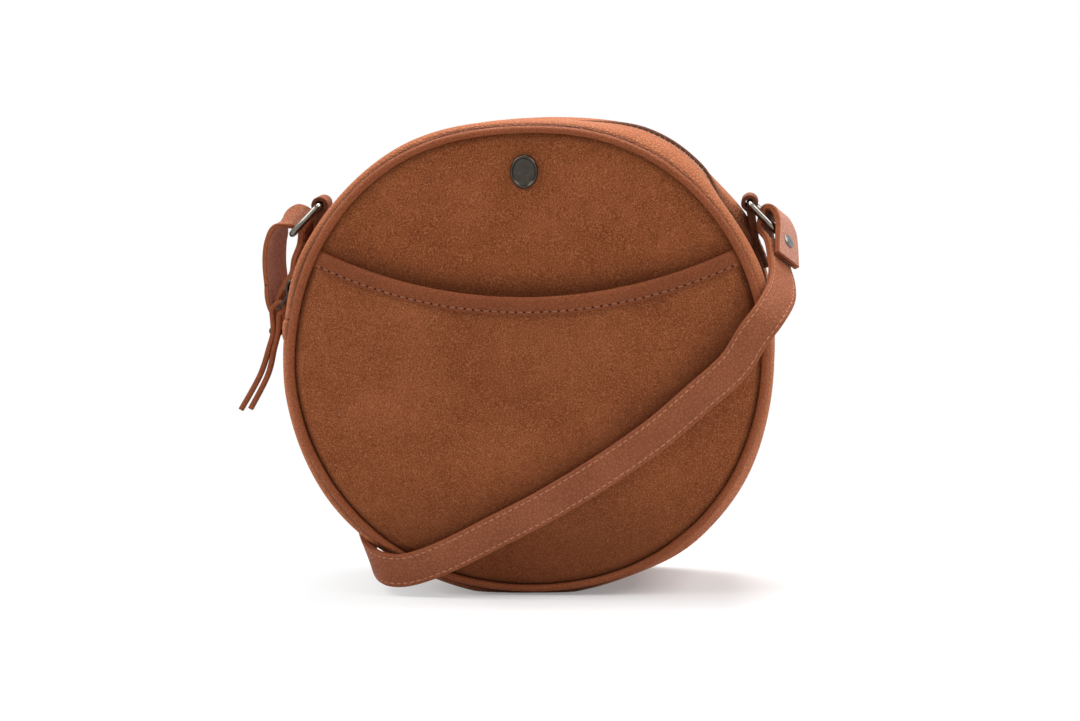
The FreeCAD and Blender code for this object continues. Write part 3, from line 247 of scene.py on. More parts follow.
def start_finish(name):
    """New material: its tree, Principled shader and Object coordinates."""
    finish = bpy.data.materials.new(name)
    finish.use_nodes = True
    tree = finish.node_tree
    shader = tree.nodes["Principled BSDF"]
    where = tree.nodes.new("ShaderNodeTexCoord").outputs["Object"]
    return finish, tree, shader, where


def relief(tree, shader, height, depth):
    """Bump of depth millimetres into the shader's normal."""
    bump = add(tree, "ShaderNodeBump", Strength=1.0, Distance=depth / 1000)
    join(height, bump.inputs["Height"])
    join(bump.outputs["Normal"], shader.inputs["Normal"])


def surfaced(tree, kind, where, colours):
    """One of the shader groups, placed in a material with its own colours."""
    made = tree.nodes.new("ShaderNodeGroup")
    made.node_tree = kind
    join(where, made.inputs["Place"])
    for label, colour in colours.items():
        made.inputs[label].default_value = shade(*colour)
    return made


def groove_shaded(tree, shader, colour, dark, share):
    """Colour of the shader, going over to a share of the dark colour where the groove attribute paints shade into
    a groove.
    """
    groove = add(tree, "ShaderNodeAttribute", attribute_name="groove")
    deep = tuple(share * c for c in shade(*dark)[:3]) + (1.0,)
    join(mixed(groove.outputs["Fac"], colour, deep), shader.inputs["Base Color"])


def suede_finish(name, deep, plain, brushed, glint):
    """Brushed suede, going over to its deep colour where shade is painted on through a vertex attribute."""
    finish, tree, shader, where = start_finish(name)
    nap = surfaced(tree, NAP, where, {"Deep": deep, "Plain": plain, "Brushed": brushed, "Glint": glint})
    # Painted shade: a vertex attribute darkens the nap towards its deep colour.
    painted_shade = add(tree, "ShaderNodeAttribute", attribute_name="painted_shade")
    nap_with_shade = mixed(painted_shade.outputs["Fac"], nap.outputs["Color"], shade(*deep))
    groove_shaded(tree, shader, nap_with_shade, deep, 0.25)
    for label, value in (
        ("Roughness", 0.95), ("Specular IOR Level", 0.12), ("Sheen Weight", 0.18), ("Sheen Roughness", 0.45),
        ("Sheen Tint", shade(232, 150, 96)),
    ):
        shader.inputs[label].default_value = value
    relief(tree, shader, nap.outputs["Height"], 0.5)
    return finish


def leather_finish(name, pebble, crease, hide, worn, depth, gloss):
    """Grained leather; pebble is the size of a pebble in millimetres."""
    finish, tree, shader, where = start_finish(name)
    grain = surfaced(tree, GRAIN, where, {"Crease": crease, "Hide": hide, "Worn": worn})
    grain.inputs["Pebbles"].default_value = 1000.0 / pebble
    groove_shaded(tree, shader, grain.outputs["Color"], crease, 0.3)
    join(grain.outputs["Roughness"], shader.inputs["Roughness"])
    shader.inputs["Specular IOR Level"].default_value = gloss
    relief(tree, shader, grain.outputs["Height"], depth)
    return finish


def flesh_finish(name, dark, light, depth=0.25):
    """Raw cut or flesh side of leather: matted fibres."""
    finish, tree, shader, where = start_finish(name)
    fibres = cloud(where, 1.3, 5.0, 0.7)
    join(ramp(fibres, ((0.3, dark), (0.72, light))), shader.inputs["Base Color"])
    shader.inputs["Roughness"].default_value = 0.9
    shader.inputs["Specular IOR Level"].default_value = 0.15
    relief(tree, shader, fibres, depth)
    return finish


def metal_finish(name, dark, light, rough):
    """Dark plated metal with fine rubbed marks."""
    finish, tree, shader, where = start_finish(name)
    rub = cloud(where, 3.0, 5.0, 0.6)
    join(ramp(rub, ((0.35, dark), (0.7, light))), shader.inputs["Base Color"])
    join(remap(rub, 0.3, 0.7, rough - 0.07, rough + 0.1), shader.inputs["Roughness"])
    shader.inputs["Metallic"].default_value = 1.0
    relief(tree, shader, rub, 0.004)
    return finish


def woven_finish(name, dark, light, yarn):
    """Zip tape: ribbed weave, yarn millimetres from rib to rib."""
    finish, tree, shader, where = start_finish(name)
    ribs = add(tree, "ShaderNodeTexWave", Scale=1000.0 / yarn / 6.283, Distortion=0.6, Detail=1.0)
    ribs.bands_direction = "Y"
    join(where, ribs.inputs["Vector"])
    cross = cloud(where, yarn * 0.9, 2.0)
    height = sums("ADD", ribs.outputs["Fac"], sums("MULTIPLY", cross, 0.6))
    join(ramp(height, ((0.35, dark), (1.1, light))), shader.inputs["Base Color"])
    shader.inputs["Roughness"].default_value = 0.85
    relief(tree, shader, height, 0.15)
    return finish


PANEL_SUEDE = suede_finish("panel suede", (88, 43, 21), (130, 68, 37), (153, 86, 49), (182, 115, 76))
POCKET_SUEDE = suede_finish("pocket suede", (90, 45, 23), (129, 68, 38), (152, 87, 51), (180, 115, 77))
TRIM = leather_finish("trim leather", 1.5, (98, 49, 27), (131, 70, 41), (141, 78, 47), 0.12, 0.13)
PIPING_HIDE = leather_finish("piping leather", 1.4, (112, 56, 31), (146, 79, 47), (156, 88, 54), 0.10, 0.16)
GUSSET = leather_finish("gusset leather", 1.7, (132, 72, 43), (174, 101, 63), (186, 113, 73), 0.24, 0.15)
STRAP = leather_finish("strap leather", 1.7, (110, 57, 35), (146, 83, 53), (155, 91, 60), 0.13, 0.18)
EDGE = flesh_finish("painted edge", (130, 71, 44), (158, 93, 61), 0.08)
FLESH = flesh_finish("flesh side", (164, 112, 94), (208, 154, 134))
THONG = leather_finish("thong leather", 1.2, (84, 42, 21), (133, 73, 40), (146, 84, 48), 0.08, 0.2)
THREAD = flesh_finish("thread", (172, 112, 82), (204, 146, 114), 0.05)
TAB_EDGE = flesh_finish("tab edge", (84, 46, 30), (118, 68, 46), 0.08)
DARK_THREAD = flesh_finish("trim thread", (132, 80, 58), (168, 112, 86), 0.05)
# Needle holes: dark pills that paint the shade inside each hole, and the gap between the strap's plies at its
# ends.
HOLE_SHADE = flesh_finish("needle hole", (46, 22, 13), (66, 34, 21), 0.02)
TAPE = woven_finish("zip tape", (48, 26, 17), (88, 50, 34), 0.5)
GUNMETAL = metal_finish("gunmetal", (58, 55, 50), (74, 70, 64), 0.15)
WIRE = metal_finish("ring metal", (112, 108, 101), (138, 134, 126), 0.12)
BADGE = metal_finish("badge metal", (64, 59, 54), (80, 75, 68), 0.22)
RIVET = metal_finish("rivet metal", (104, 105, 103), (140, 141, 138), 0.3)
TEETH = metal_finish("teeth metal", (76, 64, 56), (114, 100, 90), 0.3)


# ---- shaping


def at(reach, turn, y, middle=MID):
    """Point reach from the bag's axis at turn degrees."""
    angle = radians(turn)
    return Vector((reach * cos(angle), y, middle + reach * sin(angle)))


def reach_of(spot):
    """Distance of a point from the bag's axis."""
    return hypot(spot.x, spot.z - MID)


def turn_of(spot):
    """Angle of a point about the bag's axis, in degrees."""
    return degrees(atan2(spot.z - MID, spot.x))


def circle(wide, tall, sides):
    """Points on an oval, wide and tall from its middle."""
    return [(wide * cos(a), tall * sin(a)) for a in (2 * pi * k / sides for k in range(sides))]


def sag_of(turn):
    """How far the soft bag sinks at turn degrees: at its top and its foot, less a swell at the left and below."""
    turn = (turn + 90) % 360 - 90
    foot = abs((turn + 270) % 360 - 180)
    swell = 1.2 * (ease(165, 195, turn % 360) - ease(320, 350, turn % 360))
    return 4.4 * bell(turn, 92, 17 * sqrt(2)) + 2.7 * bell(foot, 0, 19 * sqrt(2)) - swell


def sag(bm):
    """Let the bag settle a little, as it does under its own weight."""
    for v in bm.verts:
        reach = reach_of(v.co)
        if reach < 20:
            continue
        turn = turn_of(v.co)
        share = 1 - sag_of(turn) * (reach / CROWN) ** 2 / reach
        v.co.x *= share
        v.co.z = MID + (v.co.z - MID) * share


def ripple(bm, size, depth, seed=0.0):
    """Slow unevenness of soft material, size millimetres across and depth deep."""
    bm.normal_update()
    for v in bm.verts:
        v.co += v.normal * (depth * noise.noise(v.co / size + Vector((seed, seed, seed))))


def layer(bm, name):
    """New number on each vertex, which a finish reads as an attribute."""
    return bm.verts.layers.float.new(name)


def close_holes(bm):
    """Fill every open rim and give the new faces."""
    return ops.holes_fill(bm, edges=[e for e in bm.edges if e.is_boundary], sides=0)["faces"]


def turned(outline, start, sweep, steps, middle=MID, closed=True):
    """Spin an outline of (reach, y) about an axis along Y at height middle."""
    bm = bmesh.new()
    verts = [bm.verts.new((reach, y, 0)) for reach, y in outline]
    edges = [bm.edges.new(pair) for pair in zip(verts, verts[1:])]
    if closed:
        edges.append(bm.edges.new((verts[-1], verts[0])))
    ops.rotate(bm, verts=verts, cent=(0, 0, 0), matrix=Matrix.Rotation(-radians(start), 3, "Y"))
    whole = abs(sweep) >= 360
    ops.spin(
        bm, geom=verts + edges, cent=(0, 0, 0), axis=(0, -1, 0), angle=radians(sweep),
        steps=steps, use_merge=whole,
    )
    ops.translate(bm, verts=bm.verts, vec=(0, 0, middle))
    ops.remove_doubles(bm, verts=bm.verts, dist=0.001)
    if closed and not whole:
        close_holes(bm)
    ops.recalc_face_normals(bm, faces=bm.faces)
    return bm


def rows_through(stations, steps):
    """Even rows (point, along, across, out) on a smooth line through stations of (point, across)."""
    points = [Vector(p) for p, w in stations]
    sides = [Vector(w) for p, w in stations]
    last = len(points) - 1
    rows = []
    for i in range(last):
        here, there = points[i], points[i + 1]
        leave = (there - points[max(i - 1, 0)]) * 0.5
        come = (points[min(i + 2, last)] - here) * 0.5
        for step in range(steps + (i == last - 1)):
            f = step / steps
            spot = (
                here * (2 * f**3 - 3 * f**2 + 1) + leave * (f**3 - 2 * f**2 + f)
                + there * (3 * f**2 - 2 * f**3) + come * (f**3 - f**2)
            )
            along = (
                here * (6 * f**2 - 6 * f) + leave * (3 * f**2 - 4 * f + 1)
                + there * (6 * f - 6 * f**2) + come * (3 * f**2 - 2 * f)
            ).normalized()
            across = sides[i].lerp(sides[i + 1], f)
            across = (across - along * across.dot(along)).normalized()
            rows.append((spot, along, across, along.cross(across)))
    return rows


def drawn(rows, outline, finish_of=None, endless=False):
    """Draw a closed outline of (across, out) along rows; finish_of(side) picks a material slot.
    The ends are closed, or joined to each other when endless."""
    rows = rows + rows[:1] if endless else rows
    long, sides = len(rows) - 1, len(outline)
    bm = bmesh.new()
    ops.create_grid(bm, x_segments=long, y_segments=sides, size=1)
    place = bm.verts.layers.int.new("side")
    for vert in bm.verts:
        number = round((vert.co.y + 1) / 2 * sides)
        spot, along, across, out = rows[round((vert.co.x + 1) / 2 * long)]
        u, v = outline[number % sides]
        vert[place] = number
        vert.co = spot + across * u + out * v
    for face in bm.faces:
        face.material_index = finish_of(min(v[place] for v in face.verts)) if finish_of else 0
    ops.remove_doubles(bm, verts=bm.verts, dist=0.0005)
    if not endless:
        for face in close_holes(bm):
            face.material_index = 1 if finish_of else 0
    ops.recalc_face_normals(bm, faces=bm.faces)
    return bm


def grow(bm, other):
    """Add another bmesh to bm."""
    spare = bpy.data.meshes.new("spare")
    other.to_mesh(spare)
    other.free()
    bm.from_mesh(spare)
    bpy.data.meshes.remove(spare)


def brick(size, spot=(0, 0, 0)):
    """New bmesh with one block about a point."""
    bm = bmesh.new()
    ops.create_cube(bm, size=1)
    ops.scale(bm, vec=size, verts=bm.verts)
    ops.translate(bm, vec=spot, verts=bm.verts)
    return bm


def round_off(bm, offset, segments=1, profile=0.5):
    """Take the sharpness off every edge."""
    ops.bevel(
        bm, geom=bm.edges[:], offset=offset, affect="EDGES", segments=segments, profile=profile, material=-1,
    )


def pill(bm, spot, along, across, out, long, wide, tall, finish=0):
    """One small rounded body, long, wide and tall, laid along a direction."""
    turn = Matrix((along * long / 2, across * wide / 2, out * tall / 2)).transposed().to_4x4()
    made = ops.create_uvsphere(
        bm, u_segments=6, v_segments=5, radius=1,
        matrix=Matrix.Translation(spot) @ turn @ Matrix.Rotation(pi / 2, 4, "Y"),
    )
    for face in {f for v in made["verts"] for f in v.link_faces}:
        face.material_index = finish


def sew(bm, line, pitch, long, wide, tall, hole=0.0):
    """Stitches along a line of (point, out), with needle holes between them if hole is given.
    They join the bmesh a patch at a time, which is faster than one by one."""
    gone, want = 0.0, pitch / 2
    patch, count = bmesh.new(), 0
    for (a, na), (b, nb) in zip(line, line[1:]):
        step = (b - a).length
        while gone + step >= want:
            f = (want - gone) / step
            along = (b - a).normalized()
            out = na.lerp(nb, f).normalized()
            across = out.cross(along).normalized()
            spot = a.lerp(b, f)
            pill(patch, spot, along, across, out, long, wide, tall)
            if hole:
                pill(patch, spot + along * (pitch / 2), along, across, out, hole, hole, hole * 0.5, 1)
            want += pitch
            count += 1
            if count % 20 == 0:
                grow(bm, patch)
                patch = bmesh.new()
        gone += step
    grow(bm, patch)


def piece(bm, name, finishes, body, stands_for=(), flat=False):
    """Finish a bmesh as a piece of the bag that rides on a body."""
    ops.scale(bm, vec=(0.001, 0.001, 0.001), verts=bm.verts)
    for face in bm.faces:
        face.smooth = not flat
    mesh = bpy.data.meshes.new(name)
    bm.to_mesh(mesh)
    bm.free()
    made = bpy.data.objects.new(name, mesh)
    scene.collection.objects.link(made)
    for finish in finishes:
        mesh.materials.append(finish)
    if body:
        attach(made, body)
    if stands_for:
        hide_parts(*stands_for)
    return made


def crown_reach(y, depth=0.0):
    """Reach of the gusset's surface at y, depth below its face."""
    return CROWN - CROWN_ARC + sqrt((CROWN_ARC - depth) ** 2 - y * y)


# ---- panels and pocket


def panel_face(reach, dome):
    """Distance of a domed panel's face from the mid plane; its rim drops into the seam."""
    return PANEL_FACE + dome * (1 - (reach / PANEL) ** 2) - 0.7 * ease(102.0, 105.0, reach)


def pocket_face(spot):
    """Distance of the pocket's face from the mid plane at a point, with its soft waves."""
    reach = reach_of(spot)
    wave = 0.45 * noise.noise(Vector((spot.x, 3, spot.z)) / 42)
    return POCKET_FACE + 12.0 * (1 - (reach / PANEL) ** 2) - 2.3 * ease(100.2, 105.0, reach) + wave


def rim_shade(reach):
    """Painted shade where a panel goes under the piping, 0 to 1."""
    return 0.9 * ease(PANEL_EDGE - 1.5, PANEL_EDGE - 0.3, reach)


def make_panel(face, dome, side):
    """Suede disc, domed, its edge turned down into the seam."""
    reaches = [PANEL_EDGE * sin(pi / 2 * k / 40) for k in range(41)]
    outline = [(r, side * panel_face(r, dome)) for r in reaches]
    outline += [(r, side * (panel_face(r, dome) - SUEDE)) for r in reversed(reaches)]
    bm = turned(outline, 0, 360, 160, closed=False)
    painted_shade = layer(bm, "painted_shade")
    groove = layer(bm, "groove")
    for v in bm.verts:
        v.co.y += side * 0.35 * noise.noise(Vector((v.co.x, 0, v.co.z)) / 38)
        # Painted shade on the front panel just above the pocket's mouth, where the pocket stands out in front of
        # it.
        above = MOUTH_RADIUS - hypot(v.co.x, MOUTH_Z - v.co.z)
        if side < 0:
            v[painted_shade] = 0.5 * (1 - ease(-2.0, 15.0, above))
        # Painted shade at the panel's rim, where the suede goes under the piping.
        v[groove] = rim_shade(reach_of(v.co))
    sag(bm)
    piece(bm, face + "_panel_suede", [PANEL_SUEDE], "bag",
          (face + "_panel", face + "_board", face + "_lining"))


make_panel("front", 4.5, -1)
make_panel("back", 6.0, 1)


def mouth_ends(reach):
    """Where the mouth's curve meets a circle of that reach about the bag's axis: x and angle."""
    apart = MOUTH_Z - MID
    rise = (apart**2 + reach**2 - MOUTH_RADIUS**2) / (2 * apart)
    x = sqrt(reach**2 - rise**2)
    return x, degrees(atan2(rise, x))


# Strap's run over the front: points on its middle line, each with the direction across it.
FRONT_RUN = (
    ((113.6, -16.4, 141.4), (0.72, 0.42, -0.55)), ((112.6, -29.2, 135.4), (0.84, 0.25, -0.48)),
    ((108, -39, 128.3), (0.86, 0.1, -0.5)), ((101, -43, 119.4), (0.78, 0, -0.62)),
    ((92.5, -44, 106.2), (0.72, 0, -0.69)), ((77.6, -44.4, 92.6), (0.68, 0, -0.73)),
    ((57.8, -45, 75.6), (0.62, 0, -0.78)), ((33.6, -45, 58.6), (0.55, 0, -0.83)),
    ((9.2, -44.4, 43.6), (0.5, 0, -0.87)), ((-13.2, -43.2, 31.6), (0.48, 0, -0.88)),
    ((-33.6, -41.4, 20.8), (0.42, 0, -0.91)), ((-47.4, -39.6, 14.8), (0.26, 0, -0.97)),
    ((-57.6, -37.8, 12), (0.1, 0, -0.99)), ((-66, -34.6, 12.4), (0.15, 0, -0.98)),
    ((-72.6, -25, 14.6), (0.3, 0, -0.95)), ((-76.6, -11, 18.2), (0.4, 0, -0.91)),
    ((-78.6, 4, 21), (0.42, 0.05, -0.9)), ((-79.2, 20, 22), (0.36, 0, -0.93)),
    ((-77, 33.5, 19.4), (0.2, -0.05, -0.97)), ((-67.6, 44, 12.4), (0, 0, -1)),
)


def strap_shade(x, z):
    """Painted shadow of the strap on the pocket along the upper edge of the strap's front run, 0 to 1."""
    run = [spot for spot, across in FRONT_RUN[3:12]]
    for (x0, _, z0), (x1, _, z1) in zip(run, run[1:]):
        if x1 <= x <= x0:
            above = z - z0 - (z1 - z0) * (x - x0) / (x1 - x0)
            apart = above * (x0 - x1) / hypot(x0 - x1, z0 - z1)
            return ease(-4, 5, apart) * (1 - ease(6, 26, apart))
    return 0.0


def make_pocket():
    """Suede pocket: a fuller dome below the curved mouth."""
    end_x, end_turn = mouth_ends(PANEL_EDGE)
    bm = bmesh.new()
    ops.create_grid(bm, x_segments=150, y_segments=72, size=1)
    painted_shade = layer(bm, "painted_shade")
    groove = layer(bm, "groove")
    for v in bm.verts:
        u, w = v.co.x, (1 - v.co.y) / 2
        x = u * end_x
        top = Vector((x, 0, MOUTH_Z - sqrt(MOUTH_RADIUS**2 - x * x)))
        low = at(PANEL_EDGE, 270 + u * (90 + end_turn), 0)
        spot = top.lerp(low, sin(w * pi / 2))
        v.co = Vector((spot.x, -pocket_face(spot), spot.z))
        reach = reach_of(spot)
        # Painted shade at the pocket's rim, where the suede goes under the piping.
        v[groove] = rim_shade(reach)
        # Darker towards the pocket's bottom as painted shade, and along the strap's upper edge as its painted
        # shadow; a little darker also in the middle.
        flat = 0.5 * ease(40, 104, MID - spot.z) + 0.1 * bell(reach, 0, 40)
        v[painted_shade] = min(0.75, flat + 0.5 * strap_shade(spot.x, spot.z) * ease(-40, 20, spot.x))
    sag(bm)
    ops.remove_doubles(bm, verts=bm.verts, dist=0.01)
    bm.normal_update()
    if sum(f.normal.y for f in bm.faces) > 0:
        ops.reverse_faces(bm, faces=bm.faces)
    made = piece(bm, "front_pocket_suede", [POCKET_SUEDE], "bag", ("front_pocket",))
    wall = made.modifiers.new("suede", "SOLIDIFY")
    wall.thickness = SUEDE / 1000
    wall.offset = -1


make_pocket()


def make_binding():
    """Leather folded over the pocket's mouth, with a row of stitches near its lower edge."""
    outline = [
        (232.7, -0.15), (232.75, -0.75), (232.3, -1.1), (231.9, -1.02), (231.35, -0.86), (230.8, -1.06),
        (229.0, -1.2), (226.9, -1.2), (225.6, -0.9), (224.95, -0.2), (224.8, 0.7), (224.95, 1.6),
        (225.6, 2.3), (226.9, 2.55), (232.3, 2.5), (232.7, 2.2), (232.7, 1.55), (226.0, 1.55), (226.0, -0.15),
    ]
    half_sweep, end_reach, end_turn = 25.5, 104.8, 27.3
    bm = turned(outline, 270 - half_sweep, 2 * half_sweep, 150, middle=MOUTH_Z)
    for side in (-1, 1):
        cut = at(end_reach, 90 - side * (90 - end_turn), 0)
        ops.bisect_plane(
            bm, geom=bm.verts[:] + bm.edges[:] + bm.faces[:], plane_co=cut,
            plane_no=(cut - Vector((0, 0, MID))), clear_outer=True,
        )
    close_holes(bm)
    for v in bm.verts:
        v.co.y -= pocket_face(v.co) + 0.4 * ease(101.5, 104, reach_of(v.co))
    piece(bm, "pocket_binding_leather", [TRIM], "bag", ("pocket_binding",))
    bm = bmesh.new()
    line, stitch_reach, last_reach = [], 231.35, 103.2
    for k in range(-120, 121):
        spot = at(stitch_reach, 270 + k * 0.2, 0, MOUTH_Z)
        if reach_of(spot) <= last_reach:
            spot.y = -pocket_face(spot) - 0.98
            line.append((spot, Vector((0, -1, 0))))
    sew(bm, line, pitch=3.8, long=2.7, wide=0.75, tall=0.5, hole=0.95)
    piece(bm, "pocket_binding_stitches", [DARK_THREAD, HOLE_SHADE], "bag")


make_binding()

# ---- seams and gusset


def seam_shade(turn):
    """How much shade is painted into the groove beside the piping at turn degrees: most at the top, faint at the
    lower left.
    """
    turn %= 360
    made = 0.85 + 0.15 * bell(turn, 83, 24) - 0.05 * bell(turn, 138, 26)
    return made - 0.2 * bell(turn, 207, 32) + 0.15 * bell(turn, 285, 22)


def make_piping(side, face):
    """Leather piping round a seam."""
    outline = [(SEAM_RING + u, side * SEAM_Y + v) for u, v in circle(PIPING, PIPING, 14)]
    bm = turned(outline, 0, 360, 220)
    ripple(bm, 9.0, 0.10)
    groove = layer(bm, "groove")
    for v in bm.verts:
        turn = turn_of(v.co) % 360
        heart = at(SEAM_RING, turn, side * SEAM_Y)
        away = v.co - heart
        reach = hypot(away.x, away.z) * (1 if reach_of(v.co) > SEAM_RING else -1)
        lean = degrees(atan2(side * away.y, reach))
        # Painted shade on the side of the piping that faces into the groove.
        inward = 1 - ease(-68, -22, lean) if lean > -150 else 1.0
        v[groove] = 0.95 * seam_shade(turn) * inward
        v.co = heart + away * (1 + 0.16 * bell(turn, 160, 30))
    sag(bm)
    piece(bm, face + "_piping_leather", [PIPING_HIDE], "bag",
          (face + "_piping", face + "_piping_cord"))


def seam_roll(apart, full):
    """How the gusset's leather rolls up beside the piping, apart from its edge."""
    near = 1 - min(apart, 4.0) / 4.0
    return full * bell(apart, 5, 8) - 4.4 * (1 - sqrt(1 - near * near))


def strip_outline(inner, outer, side, parts=36):
    """Section of a gusset strip between two distances from the middle.
    A seam edge rolls over into the groove beside the piping; an edge along the zip is only turned under."""
    ys = [inner + (outer - inner) * (0.5 - 0.5 * cos(pi * k / parts)) for k in range(parts + 1)]
    face = []
    for y in ys:
        rise = seam_roll(outer - y, 1.9)
        if inner < 0:
            rise += seam_roll(y - inner, 1.9)
        else:
            rise -= 0.6 * (1 - ease(0.0, 1.0, y - inner))
        face.append((crown_reach(y) + rise, side * y))
    under = [(crown_reach(y, HIDE) - 2.6, side * y) for y in reversed(ys)]
    return face + under


def fullness(turn, y):
    """How far the stuffed gusset stands out beyond its plain round at turn degrees.
    The zip keeps to the round where the slider ends its travel."""
    turn = (turn + 90) % 360 - 90
    upper_right = 2.9 * bell(turn, 56, 16) + 1.4 * bell(turn, 20, 10)
    behind_zip = 2.9 * bell(turn, 31, 9) * ease(4, 14, y)
    sunk_top = 1.7 * bell(turn, 95, 23) * ease(-9, 0, y)
    lower_right = 3.0 * bell(turn, -35, 18) + 2.2 * bell(turn, -53, 11)
    off_seams = 1 - ease(19, 29.5, -y) if y < 0 else 1 - ease(25, 30, y)
    made = (upper_right + behind_zip - sunk_top + lower_right) * off_seams
    ridge = 2.1 * ease(38.5, 47, turn) * (1 - ease(62, 80, turn))
    made += ridge * ease(-21, -8, y) * (1 - ease(6, 20, y))
    upper_left = 1.2 * (ease(85, 120, turn) - ease(165, 185, turn)) + 1.5 * bell(turn, 158, 12)
    lower_left = 2.2 * ease(165, 190, turn) - 1.2 * ease(212, 240, turn) + 1.8 * bell(turn, 222, 24)
    by_front_seam = bell(y, -24.5, 8)
    made += (upper_left + lower_left) * by_front_seam
    return made * (1 - bell(turn, SLIDER_FAR, 4) * (1 - ease(6, 12, abs(y))))


def fill_out(bm, zipped=False):
    """Push a gusset piece out by its fullness, and paint shade into it in the grooves beside the piping and the
    zip.
    """
    groove = layer(bm, "groove")
    for v in bm.verts:
        flat = Vector((v.co.x, 0, v.co.z - MID))
        turn = degrees(atan2(flat.z, flat.x))
        inner = abs(v.co.y)
        much = seam_shade(turn)
        # Painted shade in the groove beside the piping.
        dark = 0.95 * much * (1 - ease(0.6, 2.5 + 9.0 * max(much - 0.85, 0.0), SEAM_EDGE - inner))
        push = fullness(turn, v.co.y)
        if zipped:
            bare = ease(4, 14, turn) * (1 - ease(66, 82, turn))
            low = 14.0 if v.co.y > 0 else 6.2
            # Painted shade along the zip, reaching further onto the back strip at the upper right, where the tab
            # and the tape shade it.
            dark = max(dark, 0.85 * (1 - ease(5.0, 6.0 + (low - 6.0) * bare, inner)))
            if v.co.y < 0:
                push -= 1.3 * bare * (1 - ease(ZIP_HALF, ZIP_HALF + 8, inner))
        v[groove] = dark
        v.co += flat.normalized() * push


def make_gusset():
    """Leather strips beside the zip and the piece round the base."""
    for face, side in (("front", -1), ("back", 1)):
        bm = turned(strip_outline(ZIP_HALF, SEAM_EDGE, side), ZIP_END, 180 - 2 * ZIP_END, 150)
        ripple(bm, 16.0, 0.16, 4.0 * side)
        fill_out(bm, zipped=True)
        sag(bm)
        piece(bm, "gusset_%s_leather" % face, [GUSSET], "bag",
              ("gusset_%s_band" % face, "gusset_%s_lining" % face))
    gap, stitch_at = 0.16, 3.7
    first, last = 180 - ZIP_END + gap, 360 + ZIP_END - gap
    bm = turned(strip_outline(-SEAM_EDGE, SEAM_EDGE, 1, parts=64), first, last - first, 190)
    fill_out(bm)
    for v in bm.verts:
        turn = turn_of(v.co) % 360
        turn = turn + 360 if turn < 90 else turn
        near = min(abs(turn - first), abs(last - turn))
        reach = reach_of(v.co)
        outside = crown_reach(v.co.y) - reach < 1.6
        lift = 0.0
        if outside:
            lift = 0.75 * (1 - ease(4.6, 5.6, near)) * ease(0.0, 0.35, near) - 0.35 * bell(near, 5.2, 0.22)
        share = (reach + lift) / reach
        v.co.x *= share
        v.co.z = MID + (v.co.z - MID) * share
        v.co.z = max(v.co.z, 0.02 if outside else 2.0)
    piece(bm, "gusset_base_leather", [GUSSET], "bag", ("gusset_base", "gusset_base_lining"))
    bm = bmesh.new()
    for turn in (first + stitch_at, last - stitch_at):
        line = []
        for k in range(-28, 29):
            out = (at(CROWN, turn, k) - Vector((0, k, MID))).normalized()
            line.append((at(crown_reach(k) + 0.72, turn, k), out))
        sew(bm, line, pitch=3.8, long=2.8, wide=0.8, tall=0.55, hole=0.9)
    piece(bm, "gusset_base_stitches", [DARK_THREAD, HOLE_SHADE], "bag")


for sign, label in ((-1, "front"), (1, "back")):
    make_piping(sign, label)
make_gusset()

# ---- zip


def make_zip():
    """Woven tapes with a corded edge and two rows of metal teeth."""
    first, last = ZIP_END + 0.6, 180 - ZIP_END - 0.6
    tooth = brick((1.25, 3.1, 2.4))
    for v in tooth.verts:
        if v.co.y < 0:
            v.co.x *= 0.8
            v.co.z *= 0.86
    round_off(tooth, 0.22)
    stamp = bpy.data.meshes.new("tooth")
    tooth.to_mesh(stamp)
    tooth.free()
    pitch = degrees(TOOTH_PITCH / ZIP_LEVEL)
    stop_room = degrees(2 * 2.2 / ZIP_LEVEL)
    top = SLIDER_TURN - pitch / 4
    count = int((SLIDER_TURN - first - stop_room) / pitch)
    for face, side in (("front", -1), ("back", 1)):
        inner, middle, outer = side * 2.7, side * 6.0, side * 12.8
        outline = [
            (TAPE_LOW, inner), (TAPE_TOP, inner), (TAPE_TOP, middle), (TAPE_TOP, outer),
            (TAPE_LOW, outer), (TAPE_LOW, middle),
        ]
        bm = turned(outline, first, last - first, 150)
        cord = [(ZIP_LEVEL + u, side * 2.35 + v) for u, v in circle(0.75, 0.75, 8)]
        grow(bm, turned(cord, first, last - first, 150))
        fill_out(bm)
        sag(bm)
        piece(bm, "zip_tape_%s_weave" % face, [TAPE], "bag", ("zip_tape_" + face,))
        bm = bmesh.new()
        for number in range(count):
            turn = top - pitch * (number + (0.5 if side < 0 else 0.0))
            stand = Matrix.Rotation(radians(90 - turn), 4, "Y")
            if side < 0:
                stand = stand @ Matrix.Rotation(pi, 4, "Z")
            one = bmesh.new()
            one.from_mesh(stamp)
            lift = Matrix.Translation(at(ZIP_LEVEL, turn, side * 1.0))
            ops.transform(one, matrix=lift @ stand, verts=one.verts)
            grow(bm, one)
        fill_out(bm)
        sag(bm)
        piece(bm, "zip_teeth_%s_row" % face, [TEETH], "bag", ("zip_teeth_" + face,), flat=True)


make_zip()

# ---- tabs, thong and strap


